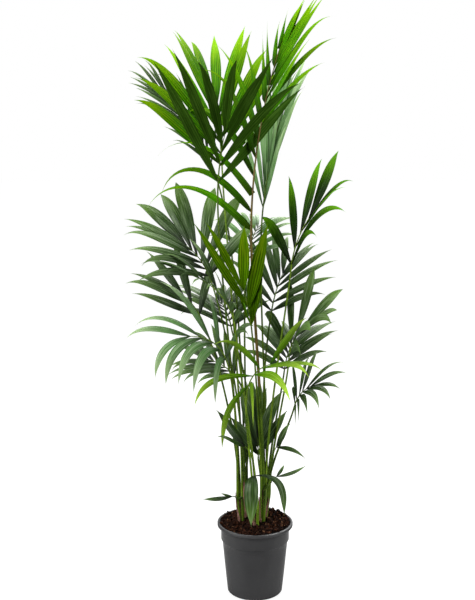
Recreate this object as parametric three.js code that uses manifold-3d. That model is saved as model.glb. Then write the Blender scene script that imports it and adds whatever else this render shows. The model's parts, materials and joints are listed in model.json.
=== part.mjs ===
// Kentia palm in a plain nursery pot, as an assembly of separate closed solids.
//
// Five young palms share one pot. Each has a short stem wrapped in old leaf bases, and long
// stalks rise from the stem's top. A stalk ends where its frond's first leaflets stand, and the
// frond is the rib beyond that point with its leaflets fused on.
//
// Millimetres, +Z up. The origin is the middle of the pot's flat underside, and the palm is
// usually looked at from the -Y side.
import * as THREE from "three";
import { mergeVertices } from "three/addons/utils/BufferGeometryUtils.js";
import Module from "manifold-3d";

const wasm = await Module();
wasm.setup();

// ---------------------------------------------------------------- driving sizes

const CLEAR = 0.3; // gap between neighbouring pieces that rest on each other
const LEAF_CLEAR = 0.5; // least gap between a leaflet and anything that it doesn't grow on
const STALK_CLEAR = 1; // least gap between two stalks
const UP = new THREE.Vector3(0, 0, 1);

const pot = {
  rimRadius: 120,
  height: 230,
  wall: 2,
  lipHeight: 10,
  lipWidth: 5,
  collarHeight: 54, // the straight band under the lip
  collarRadius: 108.5,
  shoulderDrop: 5, // the slope from the band in to the tapered wall
  shoulderRadius: 104,
  footRadius: 88,
  footRound: 7,
  segments: 32,
  drainHoles: 6,
  drainHoleRadius: 6,
  drainCircleRadius: 58,
};

const mix = {
  rimGap: 4, // how far under the rim the filling lies at the wall
  crownRadius: 78, // the level middle that the stems stand on
  crownHeight: 232,
};

const standHeight = mix.crownHeight + CLEAR; // what the stems stand on

// Stems: x and y of the foot, how far the top leans from it, height and radii.
const stems = {
  left: { foot: [-44, -8], lean: [-5, -1], height: 78, footRadius: 10, topRadius: 12.5 },
  left_rear: { foot: [-28, 30], lean: [-6, 6], height: 92, footRadius: 9.5, topRadius: 12.5 },
  front: { foot: [2, -36], lean: [0, -5], height: 62, footRadius: 9, topRadius: 12 },
  right: { foot: [22, -4], lean: [4, 0], height: 104, footRadius: 10, topRadius: 12.5 },
  right_rear: { foot: [30, 32], lean: [9, 6], height: 84, footRadius: 9.5, topRadius: 12.5 },
};
const stalkRing = 8.4; // radius of the ring of stalks round the tallest one on a stem's top
const stalkRadius = { foot: 3.4, collar: 2.5 };
const ribTipRadius = 1.1;

// A stalk leaves its stem straight up and meets its rib in line: how far each of the two holds
// on, as a share of the way between them.
const stalkHold = { foot: 0.3, collar: 0.2 };

// How far a stalk bows aside, in turn until it is clear of the stalks that stand already.
const sways = [0, 9, -9, 18, -18, 27, -27, 36, -36];

// A leaflet's outline and section: where along it is widest, how wide its root is for that,
// its thickness for its length and at the least, and how thin the keel runs out at the tip.
const blade = { peak: 0.42, root: 0.15, thickness: 0.011, thinnest: 2, tipDepth: 0.35 };

// How much each leaflet of a frond strays from the rule: share of its length, degrees to the
// rib and out of the plane, and share of its bow.
const stray = { long: 0.07, open: 4, lift: 7, bow: 0.25 };
const lastPair = 0.985; // where the last pair stands on the rib

// A leaflet that would touch something is tried again turned by these angles, in degrees, in
// its own plane and out of it, and is left out if none of them is clear.
const retries = [
  [0, 0], [4, 0], [-4, 0], [0, 6], [0, -6], [7, 4], [-7, 4], [5, -8], [-5, -8],
  [0, 13], [0, -13], [11, 0], [-11, 0], [9, 13], [-9, 13], [9, -14], [-9, -14], [0, 22], [0, -22],
  [0, 35], [0, -35], [-14, 25], [-14, -25],
];

// Shades of leaf, from the old fronds in the shade to the newest ones.
const shades = {
  deep: 0x223d22,
  mid: 0x33592c,
  fresh: 0x4d8a1c,
  lime: 0x7fb23a,
  silver: 0x6f9068,
};

// Leaflets of a frond unless its own row says otherwise: how many pairs, the longest one's
// length and width, the angle to the rib and the bow down under their weight, each at the
// collar and at the rib's tip, how far the pairs fold up out of the frond's plane, how long
// the first and last ones are for the longest, how far the frond's plane is rolled about its
// rib, how far a leaflet twists about itself, and how far up the rib the first pair stands.
// "left" and "right" change one side only.
const usual = {
  pairs: 5,
  long: 240,
  wide: 30,
  spread: [55, 20],
  bow: [0.5, 0.5],
  lift: 12,
  first: 0.8,
  last: 0.75,
  roll: 0,
  twist: 0,
  arch: 10,
  start: 9,
  left: {},
  right: {},
};

// Fronds: the stem, then where the stalk ends and where the rib ends.
const fronds = {
  top_fan: {
    stem: "left_rear", shade: "fresh", collar: [-103, 50, 1345], tip: [-128, 150, 1560], arch: 15,
    pairs: 6, long: 362, wide: 33, spread: [50, 8], bow: [0.2, 0.1], first: 0.98, last: 0.8,
  },
  top_front: {
    stem: "left", shade: "mid", collar: [-114, -40, 1300], tip: [-92, -115, 1450], arch: 12,
    pairs: 4, long: 345, wide: 31, spread: [40, 15], bow: [0.15, 0.1], first: 1.1,
  },
  left_feather: {
    stem: "left_rear", shade: "deep", collar: [-133, 75, 1350], tip: [-285, 110, 1570], arch: 15,
    pairs: 8, long: 200, wide: 12, spread: [24, 12], bow: [0.5, 0.6], lift: 0, first: 0.7,
    roll: -65,
  },
  leader: {
    stem: "right", shade: "fresh", collar: [-15, -30, 1155], tip: [72, 40, 1708], arch: 28,
    pairs: 10, long: 330, wide: 27, spread: [22, 7], bow: [0.9, 0.2], first: 0.8, last: 0.48,
    roll: 35,
    left: { long: 350, wide: 23, first: 1.15, last: 0.36, spread: [46, 4], bow: [5, 0.1] },
    right: { start: 110 },
  },
  right_rear: {
    stem: "right_rear", shade: "silver", collar: [22, 60, 1215], tip: [88, 130, 1530], arch: 12,
    pairs: 8, long: 330, wide: 18, spread: [15, 7], bow: [0.6, 0.3], last: 0.6,
  },
  upper_left: {
    stem: "left_rear", shade: "deep", collar: [-140, 15, 1010], tip: [-215, 40, 1110], roll: -55,
    pairs: 6, long: 250, wide: 36, spread: [58, 12], bow: [0.9, 0.6], first: 0.9, last: 0.85,
    left: { wide: 25 },
  },
  mid_left: {
    stem: "left", shade: "deep", collar: [-170, 20, 887], tip: [-225, 35, 955], arch: 5, roll: -50,
    pairs: 3, long: 240, wide: 27, spread: [42, 14], first: 0.9,
  },
  arched_left: {
    stem: "front", shade: "deep", collar: [-60, -20, 835], tip: [-205, -60, 1035], arch: 40,
    pairs: 7, long: 140, wide: 20, spread: [60, 25], bow: [1.6, 1.4],
    right: { long: 225, wide: 24 },
  },
  low_left: {
    stem: "left", shade: "silver", collar: [-88, -45, 760], tip: [-200, -90, 850], arch: 25,
    pairs: 6, long: 265, wide: 24, spread: [58, 20], bow: [2.8, 2], roll: -40,
    left: { wide: 28, bow: [7, 4.5] },
  },
  centre: {
    stem: "right", shade: "fresh", collar: [-13, -10, 860], tip: [-38, -48, 985], arch: 5,
    pairs: 3, long: 345, wide: 42, spread: [46, 8], bow: [0.1, 0.1],
    right: { spread: [6, 2] },
  },
  upper_right: {
    stem: "right", shade: "mid", collar: [108, 0, 1045], tip: [160, -20, 1200], roll: 45,
    pairs: 4, long: 280, wide: 40, spread: [36, 10], bow: [0.8, 0.3],
    right: { wide: 24, bow: [3, 0.6] },
  },
  rear_right: {
    stem: "right_rear", shade: "deep", collar: [50, 70, 890], tip: [90, 140, 1010], roll: 20,
    pairs: 4, long: 235, wide: 24, spread: [55, 15], bow: [0.8, 0.4],
  },
  mid_right: {
    stem: "right_rear", shade: "deep", collar: [104, 10, 755], tip: [140, -15, 855], roll: 45,
    pairs: 4, long: 250, wide: 46, spread: [50, 10], bow: [0.6, 0.5],
    right: { wide: 30, bow: [2, 0.8] },
  },
  low_right: {
    stem: "right_rear", shade: "deep", collar: [120, -20, 610], tip: [168, -50, 685], roll: 35,
    pairs: 5, long: 182, wide: 22, spread: [75, 20], bow: [2, 1.6],
  },
  young_front: {
    stem: "front", shade: "lime", collar: [-24, -62, 685], tip: [44, -92, 765], arch: 14, roll: 35,
    pairs: 4, long: 270, wide: 25, spread: [68, 14], bow: [3.4, 0.8], first: 1,
    left: { roll: 110, long: 240, wide: 17, last: 0.35, spread: [158, 70], bow: [2.5, 5] },
  },
  rear_left: {
    stem: "left_rear", shade: "deep", collar: [-60, 65, 685], tip: [-150, 100, 735], roll: -40,
    pairs: 4, long: 180, wide: 21, spread: [50, 20], bow: [1.4, 1],
  },
  rear_centre: {
    stem: "left_rear", shade: "silver", collar: [-25, 120, 1050], tip: [10, 210, 1150], arch: 15,
    pairs: 5, long: 220, wide: 23, spread: [60, 20], bow: [1.1, 0.8],
  },
  back_left: {
    stem: "left_rear", shade: "deep", collar: [-75, 125, 830], tip: [-115, 220, 905], arch: 15,
    pairs: 5, long: 220, wide: 25, spread: [60, 20], bow: [1, 0.8],
  },
  back_right: {
    stem: "right_rear", shade: "deep", collar: [95, 120, 690], tip: [130, 205, 775], arch: 15,
    pairs: 5, long: 210, wide: 25, spread: [60, 20], bow: [1, 0.8],
  },
  rear_low: {
    stem: "right", shade: "deep", collar: [10, 20, 435], tip: [5, 40, 520], arch: 5,
    pairs: 2, long: 185, wide: 38, spread: [25, 10], bow: [0.2, 0.2],
  },
  seed_front: {
    stem: "front", shade: "deep", collar: [-6, -66, 396], tip: [-5, -84, 410], arch: 2,
    pairs: 1, long: 235, wide: 36, spread: [65, 65], bow: [15, 15], lift: 5,
    left: { long: 262, twist: 70 },
    right: { long: 185, spread: [15, 15], bow: [26, 26] },
  },
  seed_left: {
    stem: "left", shade: "deep", collar: [-56, -32, 318], tip: [-72, -38, 327], arch: 2,
    pairs: 1, long: 100, wide: 21, spread: [12, 12], bow: [0.9, 0.9], roll: -60,
    right: { long: 55, wide: 9 },
  },
  seed_right: {
    stem: "right", shade: "deep", collar: [50, -10, 365], tip: [67, -10, 382], arch: 2, roll: 50,
    pairs: 1, long: 115, wide: 19, spread: [14, 14], bow: [-0.8, -0.8],
    left: { long: 60, spread: [30, 30] },
  },
  seed_mid_right: {
    stem: "right_rear", shade: "deep", collar: [57, 0, 450], tip: [66, -8, 478], arch: 2, roll: 80,
    pairs: 1, long: 155, wide: 21, spread: [48, 48], bow: [1.3, 1.3],
    left: { long: 110, wide: 28, spread: [12, 12], bow: [0, 0] },
  },
  seed_mid_left: {
    stem: "front", shade: "deep", collar: [-14, -24, 460], tip: [-34, -34, 490], arch: 2,
    pairs: 1, long: 165, wide: 32, spread: [25, 25], bow: [0.4, 0.4], roll: -40,
  },
};

// ---------------------------------------------------------------- solids

const vector = (xyz) => new THREE.Vector3(...xyz);
const radians = THREE.MathUtils.degToRad;

/** The value a share of the way from one to the other. */
const between = ([from, to], share) => from + (to - from) * share;

/** A closed mesh as a manifold-3d solid with its faces pointing out. */
function solidOf(geometry) {
  const bare = geometry.clone();
  bare.deleteAttribute("normal");
  bare.deleteAttribute("uv");
  const merged = mergeVertices(bare, 1e-4);
  const triVerts = new Uint32Array(merged.index.array);
  const vertProperties = new Float32Array(merged.attributes.position.array);
  const build = () => new wasm.Manifold(new wasm.Mesh({ numProp: 3, vertProperties, triVerts }));
  const solid = build();
  if (solid.volume() > 0) return solid;
  for (let i = 0; i < triVerts.length; i += 3)
    [triVerts[i + 1], triVerts[i + 2]] = [triVerts[i + 2], triVerts[i + 1]];
  return build();
}

/** A manifold-3d solid as a BufferGeometry for a mesh. */
function geometryOf(solid) {
  const { numProp, vertProperties, triVerts } = solid.getMesh();
  const count = vertProperties.length / numProp;
  const points = new Float32Array(count * 3);
  for (let i = 0; i < count; i++)
    points.set(vertProperties.subarray(i * numProp, i * numProp + 3), i * 3);
  const geometry = new THREE.BufferGeometry();
  geometry.setAttribute("position", new THREE.BufferAttribute(points, 3));
  geometry.setIndex(new THREE.BufferAttribute(new Uint32Array(triVerts), 1));
  geometry.computeVertexNormals();
  return geometry;
}

/** The largest body of a fused solid, so that scraps and sealed hollows are left out. */
function mainBody(solid) {
  return solid.decompose().reduce((a, b) => (b.volume() > a.volume() ? b : a));
}

/** A blank cylinder or cone whose points are moved to place(u, angle), with u from 0 to 1. */
function bent(blank, place) {
  const points = blank.attributes.position;
  const p = new THREE.Vector3();
  for (let i = 0; i < points.count; i++) {
    p.fromBufferAttribute(points, i);
    const onAxis = Math.hypot(p.x, p.z) < 1e-6;
    const q = place(p.y + 0.5, onAxis ? null : Math.atan2(p.x, p.z));
    points.setXYZ(i, q.x, q.y, q.z);
  }
  return solidOf(blank);
}

/** A vector square to axis, as near to wanted as it can be. */
function squareTo(axis, wanted) {
  return wanted.clone().addScaledVector(axis, -wanted.dot(axis)).normalize();
}

/** A tapered limb with closed ends along a curve. */
function limb(curve, radiusAt, sides, steps) {
  const side = new THREE.Vector3(1, 0, 0);
  return bent(new THREE.CylinderGeometry(1, 1, 1, sides, steps), (u, angle) => {
    const centre = curve.getPoint(u);
    if (angle === null) return centre;
    const along = curve.getTangent(u);
    const a = squareTo(along, side);
    const b = along.clone().cross(a);
    return centre
      .addScaledVector(a, radiusAt(u) * Math.cos(angle))
      .addScaledVector(b, radiusAt(u) * Math.sin(angle));
  });
}

// ---------------------------------------------------------------- stalks

const stalkWidth = (u) => between([stalkRadius.foot, stalkRadius.collar], u);

/** The middle of a stem's top. */
function stemTop(stem) {
  const { foot, lean, height } = stem;
  return new THREE.Vector3(foot[0] + lean[0], foot[1] + lean[1], standHeight + height);
}

/** The bearing from a stem's top to a frond's collar. */
function bearing(frond) {
  const way = vector(frond.collar).sub(stemTop(stems[frond.stem]));
  return Math.atan2(way.y, way.x);
}

/** Where a stalk stands on its stem's top: the tallest in the middle, the others round it. */
function stalkFoot(frond) {
  const foot = stemTop(stems[frond.stem]).addScaledVector(UP, CLEAR);
  const [tallest, ...ring] = Object.values(fronds)
    .filter((other) => other.stem === frond.stem)
    .sort((a, b) => b.collar[2] - a.collar[2]);
  if (frond === tallest) return foot;
  ring.sort((a, b) => bearing(a) - bearing(b));
  const slot = (2 * Math.PI) / ring.length;
  const turn = ring.reduce((sum, other, k) => sum + bearing(other) - k * slot, 0) / ring.length;
  const angle = turn + ring.indexOf(frond) * slot;
  foot.x += stalkRing * Math.cos(angle);
  foot.y += stalkRing * Math.sin(angle);
  return foot;
}

/** A curve that also bows aside in its middle, with its ends and their directions kept. */
class BowedCurve extends THREE.Curve {
  constructor(base, aside) {
    super();
    this.base = base;
    this.aside = aside;
  }

  getPoint(t, target = new THREE.Vector3()) {
    return this.base.getPoint(t, target).addScaledVector(this.aside, (4 * t * (1 - t)) ** 2);
  }
}

/** A stalk's curve from its place on the stem up to the collar, bowed aside by sway. */
function stalkCurve(frond, rib, sway) {
  const foot = stalkFoot(frond);
  const along = rib.curve.getTangent(0);
  const end = rib.curve.getPoint(0).addScaledVector(along, -CLEAR);
  const reach = end.distanceTo(foot);
  const aside = end.clone().sub(foot).cross(UP).normalize().multiplyScalar(sway);
  const low = foot.clone().addScaledVector(UP, reach * stalkHold.foot);
  const high = end.clone().addScaledVector(along, -reach * stalkHold.collar);
  return new BowedCurve(new THREE.CubicBezierCurve3(foot, low, high, end), aside);
}

/** Whether stalks along these two curves stay clear of each other. */
function stalksClear(curve, other) {
  const count = 80;
  const others = other.getPoints(count);
  return curve.getPoints(count).every((p, i) => {
    const near = stalkWidth(i / count) + STALK_CLEAR;
    return others.every((q, j) => p.distanceTo(q) > near + stalkWidth(j / count));
  });
}

/** The curve of each frond's stalk: the first sway that is clear of the stalks before it. */
function stalkCurves() {
  const curves = {};
  for (const [name, frond] of Object.entries(fronds)) {
    const ways = sways.map((sway) => stalkCurve(frond, ribs[name], sway));
    const standing = Object.values(curves);
    curves[name] = ways.find((way) => standing.every((other) => stalksClear(way, other)));
  }
  return curves;
}

// ---------------------------------------------------------------- fronds

/** A repeatable number from -1 to 1 for a frond's n-th draw. */
function jitter(seed, n) {
  const s = Math.sin(seed * 127.1 + n * 311.7) * 43758.5453;
  return 2 * (s - Math.floor(s)) - 1;
}

/** A frond's rib: an even bow from the collar to the tip that stands off its chord by arch. */
function ribOf(frond) {
  const from = vector(frond.collar);
  const to = vector(frond.tip);
  const face = squareTo(to.clone().sub(from).normalize(), UP);
  const middle = from.clone().lerp(to, 0.5).addScaledVector(face, 2 * frond.arch);
  const curve = new THREE.QuadraticBezierCurve3(from, middle, to);
  const width = (u) => between([stalkRadius.collar, ribTipRadius], u);
  const solid = limb(curve, width, 4, 5);
  return { curve, face, length: curve.getLength(), solid, box: solid.boundingBox() };
}

/** A leaflet's width at u, from 0 at its root to 1 at its tip, as a share of the widest. */
function leafletWidth(u) {
  const { peak, root } = blade;
  if (u < peak) return between([root, 1], Math.sin((Math.PI / 2) * (u / peak)));
  return Math.cos((Math.PI / 2) * ((u - peak) / (1 - peak)) ** 1.35) ** 0.9;
}

/** One leaflet: a thin blade with a low keel that bows towards the ground as it goes out. */
function leaflet({ root, direction, face, long, wide, bow, twist }) {
  const steps = THREE.MathUtils.clamp(Math.round(long / 90 + bow / 2), 3, 7);
  const moves = 4 * steps;
  const at = root.clone();
  const along = direction.clone();
  let out = squareTo(along, face);
  const stations = [{ at: at.clone(), along: along.clone(), out }];
  for (let k = 1; k <= moves; k++) {
    along.addScaledVector(UP, (-bow * k) / moves / moves).normalize();
    at.addScaledVector(along, long / moves);
    out = squareTo(along, out).applyAxisAngle(along, twist / moves);
    if (k % 4 === 0) stations.push({ at: at.clone(), along: along.clone(), out });
  }
  const thick = Math.max(blade.thinnest, blade.thickness * long);
  return bent(new THREE.ConeGeometry(1, 1, 3, steps), (u, angle) => {
    const station = stations[Math.round(u * steps)];
    const across = station.along.clone().cross(station.out);
    const depth = thick * THREE.MathUtils.clamp(2 - 2 * u, blade.tipDepth, 1);
    if (u > 0.99) return station.at.clone();
    if (angle === null) return station.at.clone().addScaledVector(station.out, -depth / 3);
    if (Math.abs(angle) < 0.1) return station.at.clone().addScaledVector(station.out, -depth);
    const edge = Math.sign(angle) * (wide / 2) * leafletWidth(u);
    return station.at.clone().addScaledVector(across, edge);
  });
}

/** Whether a solid keeps its distance from every one of the others. */
function isClear(solid, others) {
  const box = solid.boundingBox();
  return others.every((other) => {
    const apart = [0, 1, 2].some((k) =>
      box.min[k] > other.box.max[k] + LEAF_CLEAR || box.max[k] < other.box.min[k] - LEAF_CLEAR);
    return apart || solid.minGap(other.solid, 2 * LEAF_CLEAR) >= LEAF_CLEAR;
  });
}

/** The leaflet of one pair and side, turned from its own angles by a retry's two angles. */
function leafletPlan(frond, rib, seed, pair, side, [wider, higher]) {
  const row = { ...frond, ...(side < 0 ? frond.left : frond.right) };
  const draw = (n) => jitter(seed, 10 * pair + 5 * (side > 0) + n);
  const share = frond.pairs > 1 ? pair / (frond.pairs - 1) : 1;
  const start = row.start / rib.length;
  const stagger = (side * 0.48 * share * (1 - share)) / frond.pairs;
  const s = between([start, lastPair], share) + stagger;
  const along = rib.curve.getTangent(s);
  const face = squareTo(along, rib.face).applyAxisAngle(along, radians(row.roll));
  const out = along.clone().cross(face).multiplyScalar(side);
  const grown = share < 0.4 ? between([row.first, 1], share / 0.4)
    : between([1, row.last], (share - 0.4) / 0.6);
  const long = row.long * grown * (1 + stray.long * draw(1));
  const open = radians(between(row.spread, share) + stray.open * draw(2) + wider);
  const lift = radians(row.lift + stray.lift * draw(3) + higher);
  const direction = along.clone().multiplyScalar(Math.cos(open))
    .addScaledVector(out, Math.sin(open) * Math.cos(lift))
    .addScaledVector(face, Math.sin(open) * Math.sin(lift));
  return {
    root: rib.curve.getPoint(s),
    direction,
    face: along.clone().cross(direction).multiplyScalar(-side).normalize(),
    long,
    wide: row.wide * (0.5 + (0.5 * long) / row.long),
    bow: between(row.bow, share) * (1 + stray.bow * draw(4)),
    twist: radians(row.twist),
  };
}

/** The rib with its leaflets as one solid. A leaflet that can't be clear is left out. */
function frondSolid(name, others) {
  const frond = fronds[name];
  const rib = ribs[name];
  const seed = Object.keys(fronds).indexOf(name) + 1;
  const pieces = [rib.solid];
  for (let pair = 0; pair < frond.pairs; pair++)
    for (const side of [-1, 1])
      retries.some((turn) => {
        const solid = leaflet(leafletPlan(frond, rib, seed, pair, side, turn));
        const clear = isClear(solid, others);
        if (clear) pieces.push(solid);
        return clear;
      });
  return mainBody(wasm.Manifold.union(pieces).simplify(0.2));
}

// ---------------------------------------------------------------- pot and filling

/** The pot: a tapered shell with a band and a lip at the top and drain holes in the floor. */
function potSolid() {
  const p = pot;
  const lipInner = p.rimRadius - p.lipWidth - p.wall;
  const bandBottom = p.height - p.collarHeight;
  const shoulder = bandBottom - p.shoulderDrop;
  const profile = [
    [0, 0],
    [p.footRadius - p.footRound, 0],
    [p.footRadius - p.footRound * 0.3, p.footRound * 0.3],
    [p.footRadius, p.footRound],
    [p.shoulderRadius, shoulder],
    [p.collarRadius, bandBottom],
    [p.collarRadius, p.height - p.lipHeight],
    [p.rimRadius, p.height - p.lipHeight],
    [p.rimRadius, p.height - 2],
    [p.rimRadius - 2, p.height],
    [lipInner, p.height],
    [p.collarRadius - p.wall, p.height - p.lipHeight],
    [p.collarRadius - p.wall, bandBottom],
    [p.shoulderRadius - p.wall, shoulder],
    [p.footRadius - p.wall, p.footRound],
    [p.footRadius - p.footRound, p.wall],
    [0, p.wall],
  ].map(([r, z]) => new THREE.Vector2(r, z));
  const turned = new THREE.LatheGeometry(profile, p.segments).rotateX(Math.PI / 2);
  let shell = solidOf(turned);
  for (let i = 0; i < p.drainHoles; i++) {
    const angle = (2 * Math.PI * i) / p.drainHoles;
    const drill = new THREE.CylinderGeometry(p.drainHoleRadius, p.drainHoleRadius, 4 * p.wall, 10)
      .rotateX(Math.PI / 2)
      .translate(p.drainCircleRadius * Math.cos(angle), p.drainCircleRadius * Math.sin(angle), 0);
    shell = shell.subtract(solidOf(drill));
  }
  return shell;
}

/** The potting mix: fills the pot and rises to a level crown that the stems stand on. */
function mixSolid() {
  const p = pot;
  const inside = p.wall + CLEAR;
  const bandBottom = p.height - p.collarHeight;
  const edge = p.height - mix.rimGap;
  const profile = [
    [0, inside],
    [p.footRadius - p.footRound - CLEAR, inside],
    [p.footRadius - inside, p.footRound + 1],
    [p.shoulderRadius - inside, bandBottom - p.shoulderDrop],
    [p.collarRadius - inside, bandBottom + CLEAR],
    [p.collarRadius - inside, edge - 8],
    [p.collarRadius - inside - 6, edge],
    [mix.crownRadius, mix.crownHeight],
    [0, mix.crownHeight],
  ].map(([r, z]) => new THREE.Vector2(r, z));
  return solidOf(new THREE.LatheGeometry(profile, p.segments).rotateX(Math.PI / 2));
}

/** A stem: a bundle of leaf bases that widens upwards, cut flat at both ends. */
function stemSolid(stem) {
  const foot = new THREE.Vector3(...stem.foot, standHeight);
  const top = stemTop(stem);
  return bent(new THREE.CylinderGeometry(1, 1, 1, 10, 5), (u, angle) => {
    const centre = foot.clone().lerp(top, u);
    if (angle === null) return centre;
    const r = between([stem.footRadius, stem.topRadius], u);
    return centre.add(new THREE.Vector3(r * Math.cos(angle), r * Math.sin(angle), 0));
  });
}

// ---------------------------------------------------------------- assembly

const palm = new THREE.Group();

/** Adds a solid to the palm as a named mesh, and returns it for the clearance tests. */
function addPiece(name, solid, color, roughness) {
  const material = new THREE.MeshStandardMaterial({ color, roughness, metalness: 0 });
  const mesh = new THREE.Mesh(geometryOf(solid), material);
  mesh.name = name;
  palm.add(mesh);
  return { solid, box: solid.boundingBox() };
}

const placed = [
  addPiece("pot", potSolid(), 0x4a4b4d, 0.45),
  addPiece("potting_mix", mixSolid(), 0x2c1c12, 0.95),
];
for (const [name, stem] of Object.entries(stems))
  placed.push(addPiece("stem_" + name, stemSolid(stem), 0x5a6b2c, 0.8));

for (const [name, row] of Object.entries(fronds)) fronds[name] = { ...usual, ...row };
const ribs = Object.fromEntries(
  Object.entries(fronds).map(([name, frond]) => [name, ribOf(frond)]));
for (const [name, curve] of Object.entries(stalkCurves()))
  placed.push(addPiece("stalk_" + name, limb(curve, stalkWidth, 5, 7), 0x4e7d1f, 0.5));
for (const [name, frond] of Object.entries(fronds)) {
  const otherRibs = Object.values(ribs).filter((rib) => rib !== ribs[name]);
  const solid = frondSolid(name, [...placed, ...otherRibs]);
  placed.push(addPiece("frond_" + name, solid, shades[frond.shade], 0.5));
}

export default palm;
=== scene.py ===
"""The looks of a kentia palm in a plain nursery pot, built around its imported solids.

Five young palms share one pot. A stem is a slim bundle of green leaf bases with torn old sheaths
at its foot. Long stalks rise from it, and each stalk runs on as the rib of its frond, with
leaflets along both sides. Sizes are noted in millimetres and degrees, +Z up, from the middle of
the pot's flat underside. A mesh gets them in metres, in the frame of the solids, and every
piece's object stays at the origin. Finishes, strewn shapes and the studio are noted in metres.
"""

import json
import logging
import math
from collections.abc import Mapping, Sequence
from dataclasses import dataclass, field, replace
from enum import Enum
from typing import Any

import bmesh
import bpy
import numpy as np
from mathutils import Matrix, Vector, noise
from mathutils.bvhtree import BVHTree

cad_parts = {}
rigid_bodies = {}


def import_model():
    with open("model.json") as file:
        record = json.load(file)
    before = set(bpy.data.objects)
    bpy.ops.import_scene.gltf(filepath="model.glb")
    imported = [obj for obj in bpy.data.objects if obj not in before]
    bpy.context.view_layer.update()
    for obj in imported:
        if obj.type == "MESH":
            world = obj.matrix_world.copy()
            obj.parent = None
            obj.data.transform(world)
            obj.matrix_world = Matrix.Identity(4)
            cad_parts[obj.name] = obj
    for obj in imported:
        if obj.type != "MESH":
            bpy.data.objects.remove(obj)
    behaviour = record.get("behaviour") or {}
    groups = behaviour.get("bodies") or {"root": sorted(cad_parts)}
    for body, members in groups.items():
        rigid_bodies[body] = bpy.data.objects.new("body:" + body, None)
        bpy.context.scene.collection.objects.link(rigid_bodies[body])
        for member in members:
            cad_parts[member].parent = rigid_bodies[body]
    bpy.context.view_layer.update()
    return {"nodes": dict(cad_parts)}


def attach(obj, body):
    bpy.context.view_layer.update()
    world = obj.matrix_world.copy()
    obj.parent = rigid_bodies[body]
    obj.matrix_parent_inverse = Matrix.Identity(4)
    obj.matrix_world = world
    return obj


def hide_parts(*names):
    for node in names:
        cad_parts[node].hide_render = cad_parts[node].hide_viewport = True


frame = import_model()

Vec = np.ndarray
Pair = tuple[float, float]
Point = tuple[float, float, float]
Colour = tuple[float, float, float, float]
Faces = list[tuple[int, ...]]
Mesh = bpy.types.Mesh
Material = bpy.types.Material
Tree = bpy.types.NodeTree
Node = bpy.types.Node
Socket = bpy.types.NodeSocket
Sockets = Mapping[str | int, Socket]

MM = 0.001
UP = np.array([0.0, 0.0, 1.0])
LOG = logging.getLogger("kentia")


# ---------------------------------------------------------------- numbers and vectors


def jitter(seed: int, n: float) -> float:
    """A repeatable draw.

    Args:
        seed: The frond or piece that draws.
        n: Which draw of that seed.

    Returns:
        A number from -1 to 1.
    """
    s = math.sin(seed * 127.1 + n * 311.7) * 43758.5453
    return 2 * (s - math.floor(s)) - 1


def between(pair: Pair, share: float) -> float:
    """The value a share of the way from the pair's first to its second."""
    return pair[0] + (pair[1] - pair[0]) * share


def unit(v: Vec) -> Vec:
    """The vector at length 1."""
    return v / math.sqrt(float(v @ v))


def square_to(axis: Vec, wanted: Vec) -> Vec:
    """The direction square to axis that is nearest to wanted."""
    return unit(wanted - axis * float(wanted @ axis))


def turned(v: Vec, axis: Vec, angle: float) -> Vec:
    """A vector turned about an axis.

    Args:
        v: The vector.
        axis: The axis, of length 1.
        angle: The turn in radians.

    Returns:
        The turned vector.
    """
    c, s = math.cos(angle), math.sin(angle)
    return v * c + np.cross(axis, v) * s + axis * float(axis @ v) * (1 - c)


def angles_round(count: int) -> Vec:
    """Even angles round a circle."""
    return np.linspace(0, 2 * math.pi, count, endpoint=False)


def grey(tone: float) -> Colour:
    """A grey of this much linear light."""
    return tone, tone, tone, 1.0


def tint(code: str) -> Colour:
    """A colour as linear light.

    Args:
        code: Six hexadecimal digits, as mixed on a screen.

    Returns:
        Red, green, blue and full cover.
    """
    parts = [int(code[k : k + 2], 16) / 255 for k in (0, 2, 4)]
    red, green, blue = (c / 12.92 if c <= 0.04045 else ((c + 0.055) / 1.055) ** 2.4 for c in parts)
    return red, green, blue, 1.0


# ---------------------------------------------------------------- the palms' own sizes


class Shade(Enum):
    """Shades of leaf, from the old fronds in the shade to the newest ones."""

    DEEP = "deep"
    MID = "mid"
    FRESH = "fresh"
    LIME = "lime"
    SILVER = "silver"


@dataclass(frozen=True)
class Stem:
    """One palm's short stem: its foot and how far its top leans from it, height and radii."""

    name: str
    foot: Pair
    lean: Pair
    height: float
    foot_radius: float
    top_radius: float
    stand_height: float = 232.3

    def top(self) -> Vec:
        """The middle of the stem's top."""
        x, y = self.foot[0] + self.lean[0], self.foot[1] + self.lean[1]
        return np.array([x, y, self.stand_height + self.height])


@dataclass(frozen=True)
class Frond:
    """One frond.

    The stalk ends at collar and the rib at tip. Leaflets have the longest one's length and width,
    and at the collar and the rib's tip their angle to the rib and their bow under their weight.
    Lift is how far the pairs fold up out of the frond's plane, first and last how long the end
    ones are for the longest, roll how far the plane is turned about the rib, twist how far a
    leaflet turns about itself, and start how far up the rib the first pair stands. fine is the
    number of pairs where it isn't the solid's, and blunt rounds the leaflets' ends as it goes to 1
    and draws them out below 0. plain is the share of leaflets that keep the shade's plain tone
    where the others take its brighter one, a painted glow of light through the leaf. left and
    right change one side only.
    """

    name: str
    stem: str
    shade: Shade
    collar: Point
    tip: Point
    pairs: int = 5
    arch: float = 10
    long: float = 240
    wide: float = 30
    spread: Pair = (55, 20)
    bow: Pair = (0.5, 0.5)
    lift: float = 12
    first: float = 0.8
    last: float = 0.75
    roll: float = 0
    twist: float = 0
    start: float = 9
    fine: int = 0
    blunt: float = 0
    plain: float = 0.55
    left: Mapping[str, Any] = field(default_factory=dict)
    right: Mapping[str, Any] = field(default_factory=dict)

    def side(self, side: int) -> "Frond":
        """The frond with the sizes of one side: -1 is left and 1 right."""
        return replace(self, **(self.left if side < 0 else self.right))


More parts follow.
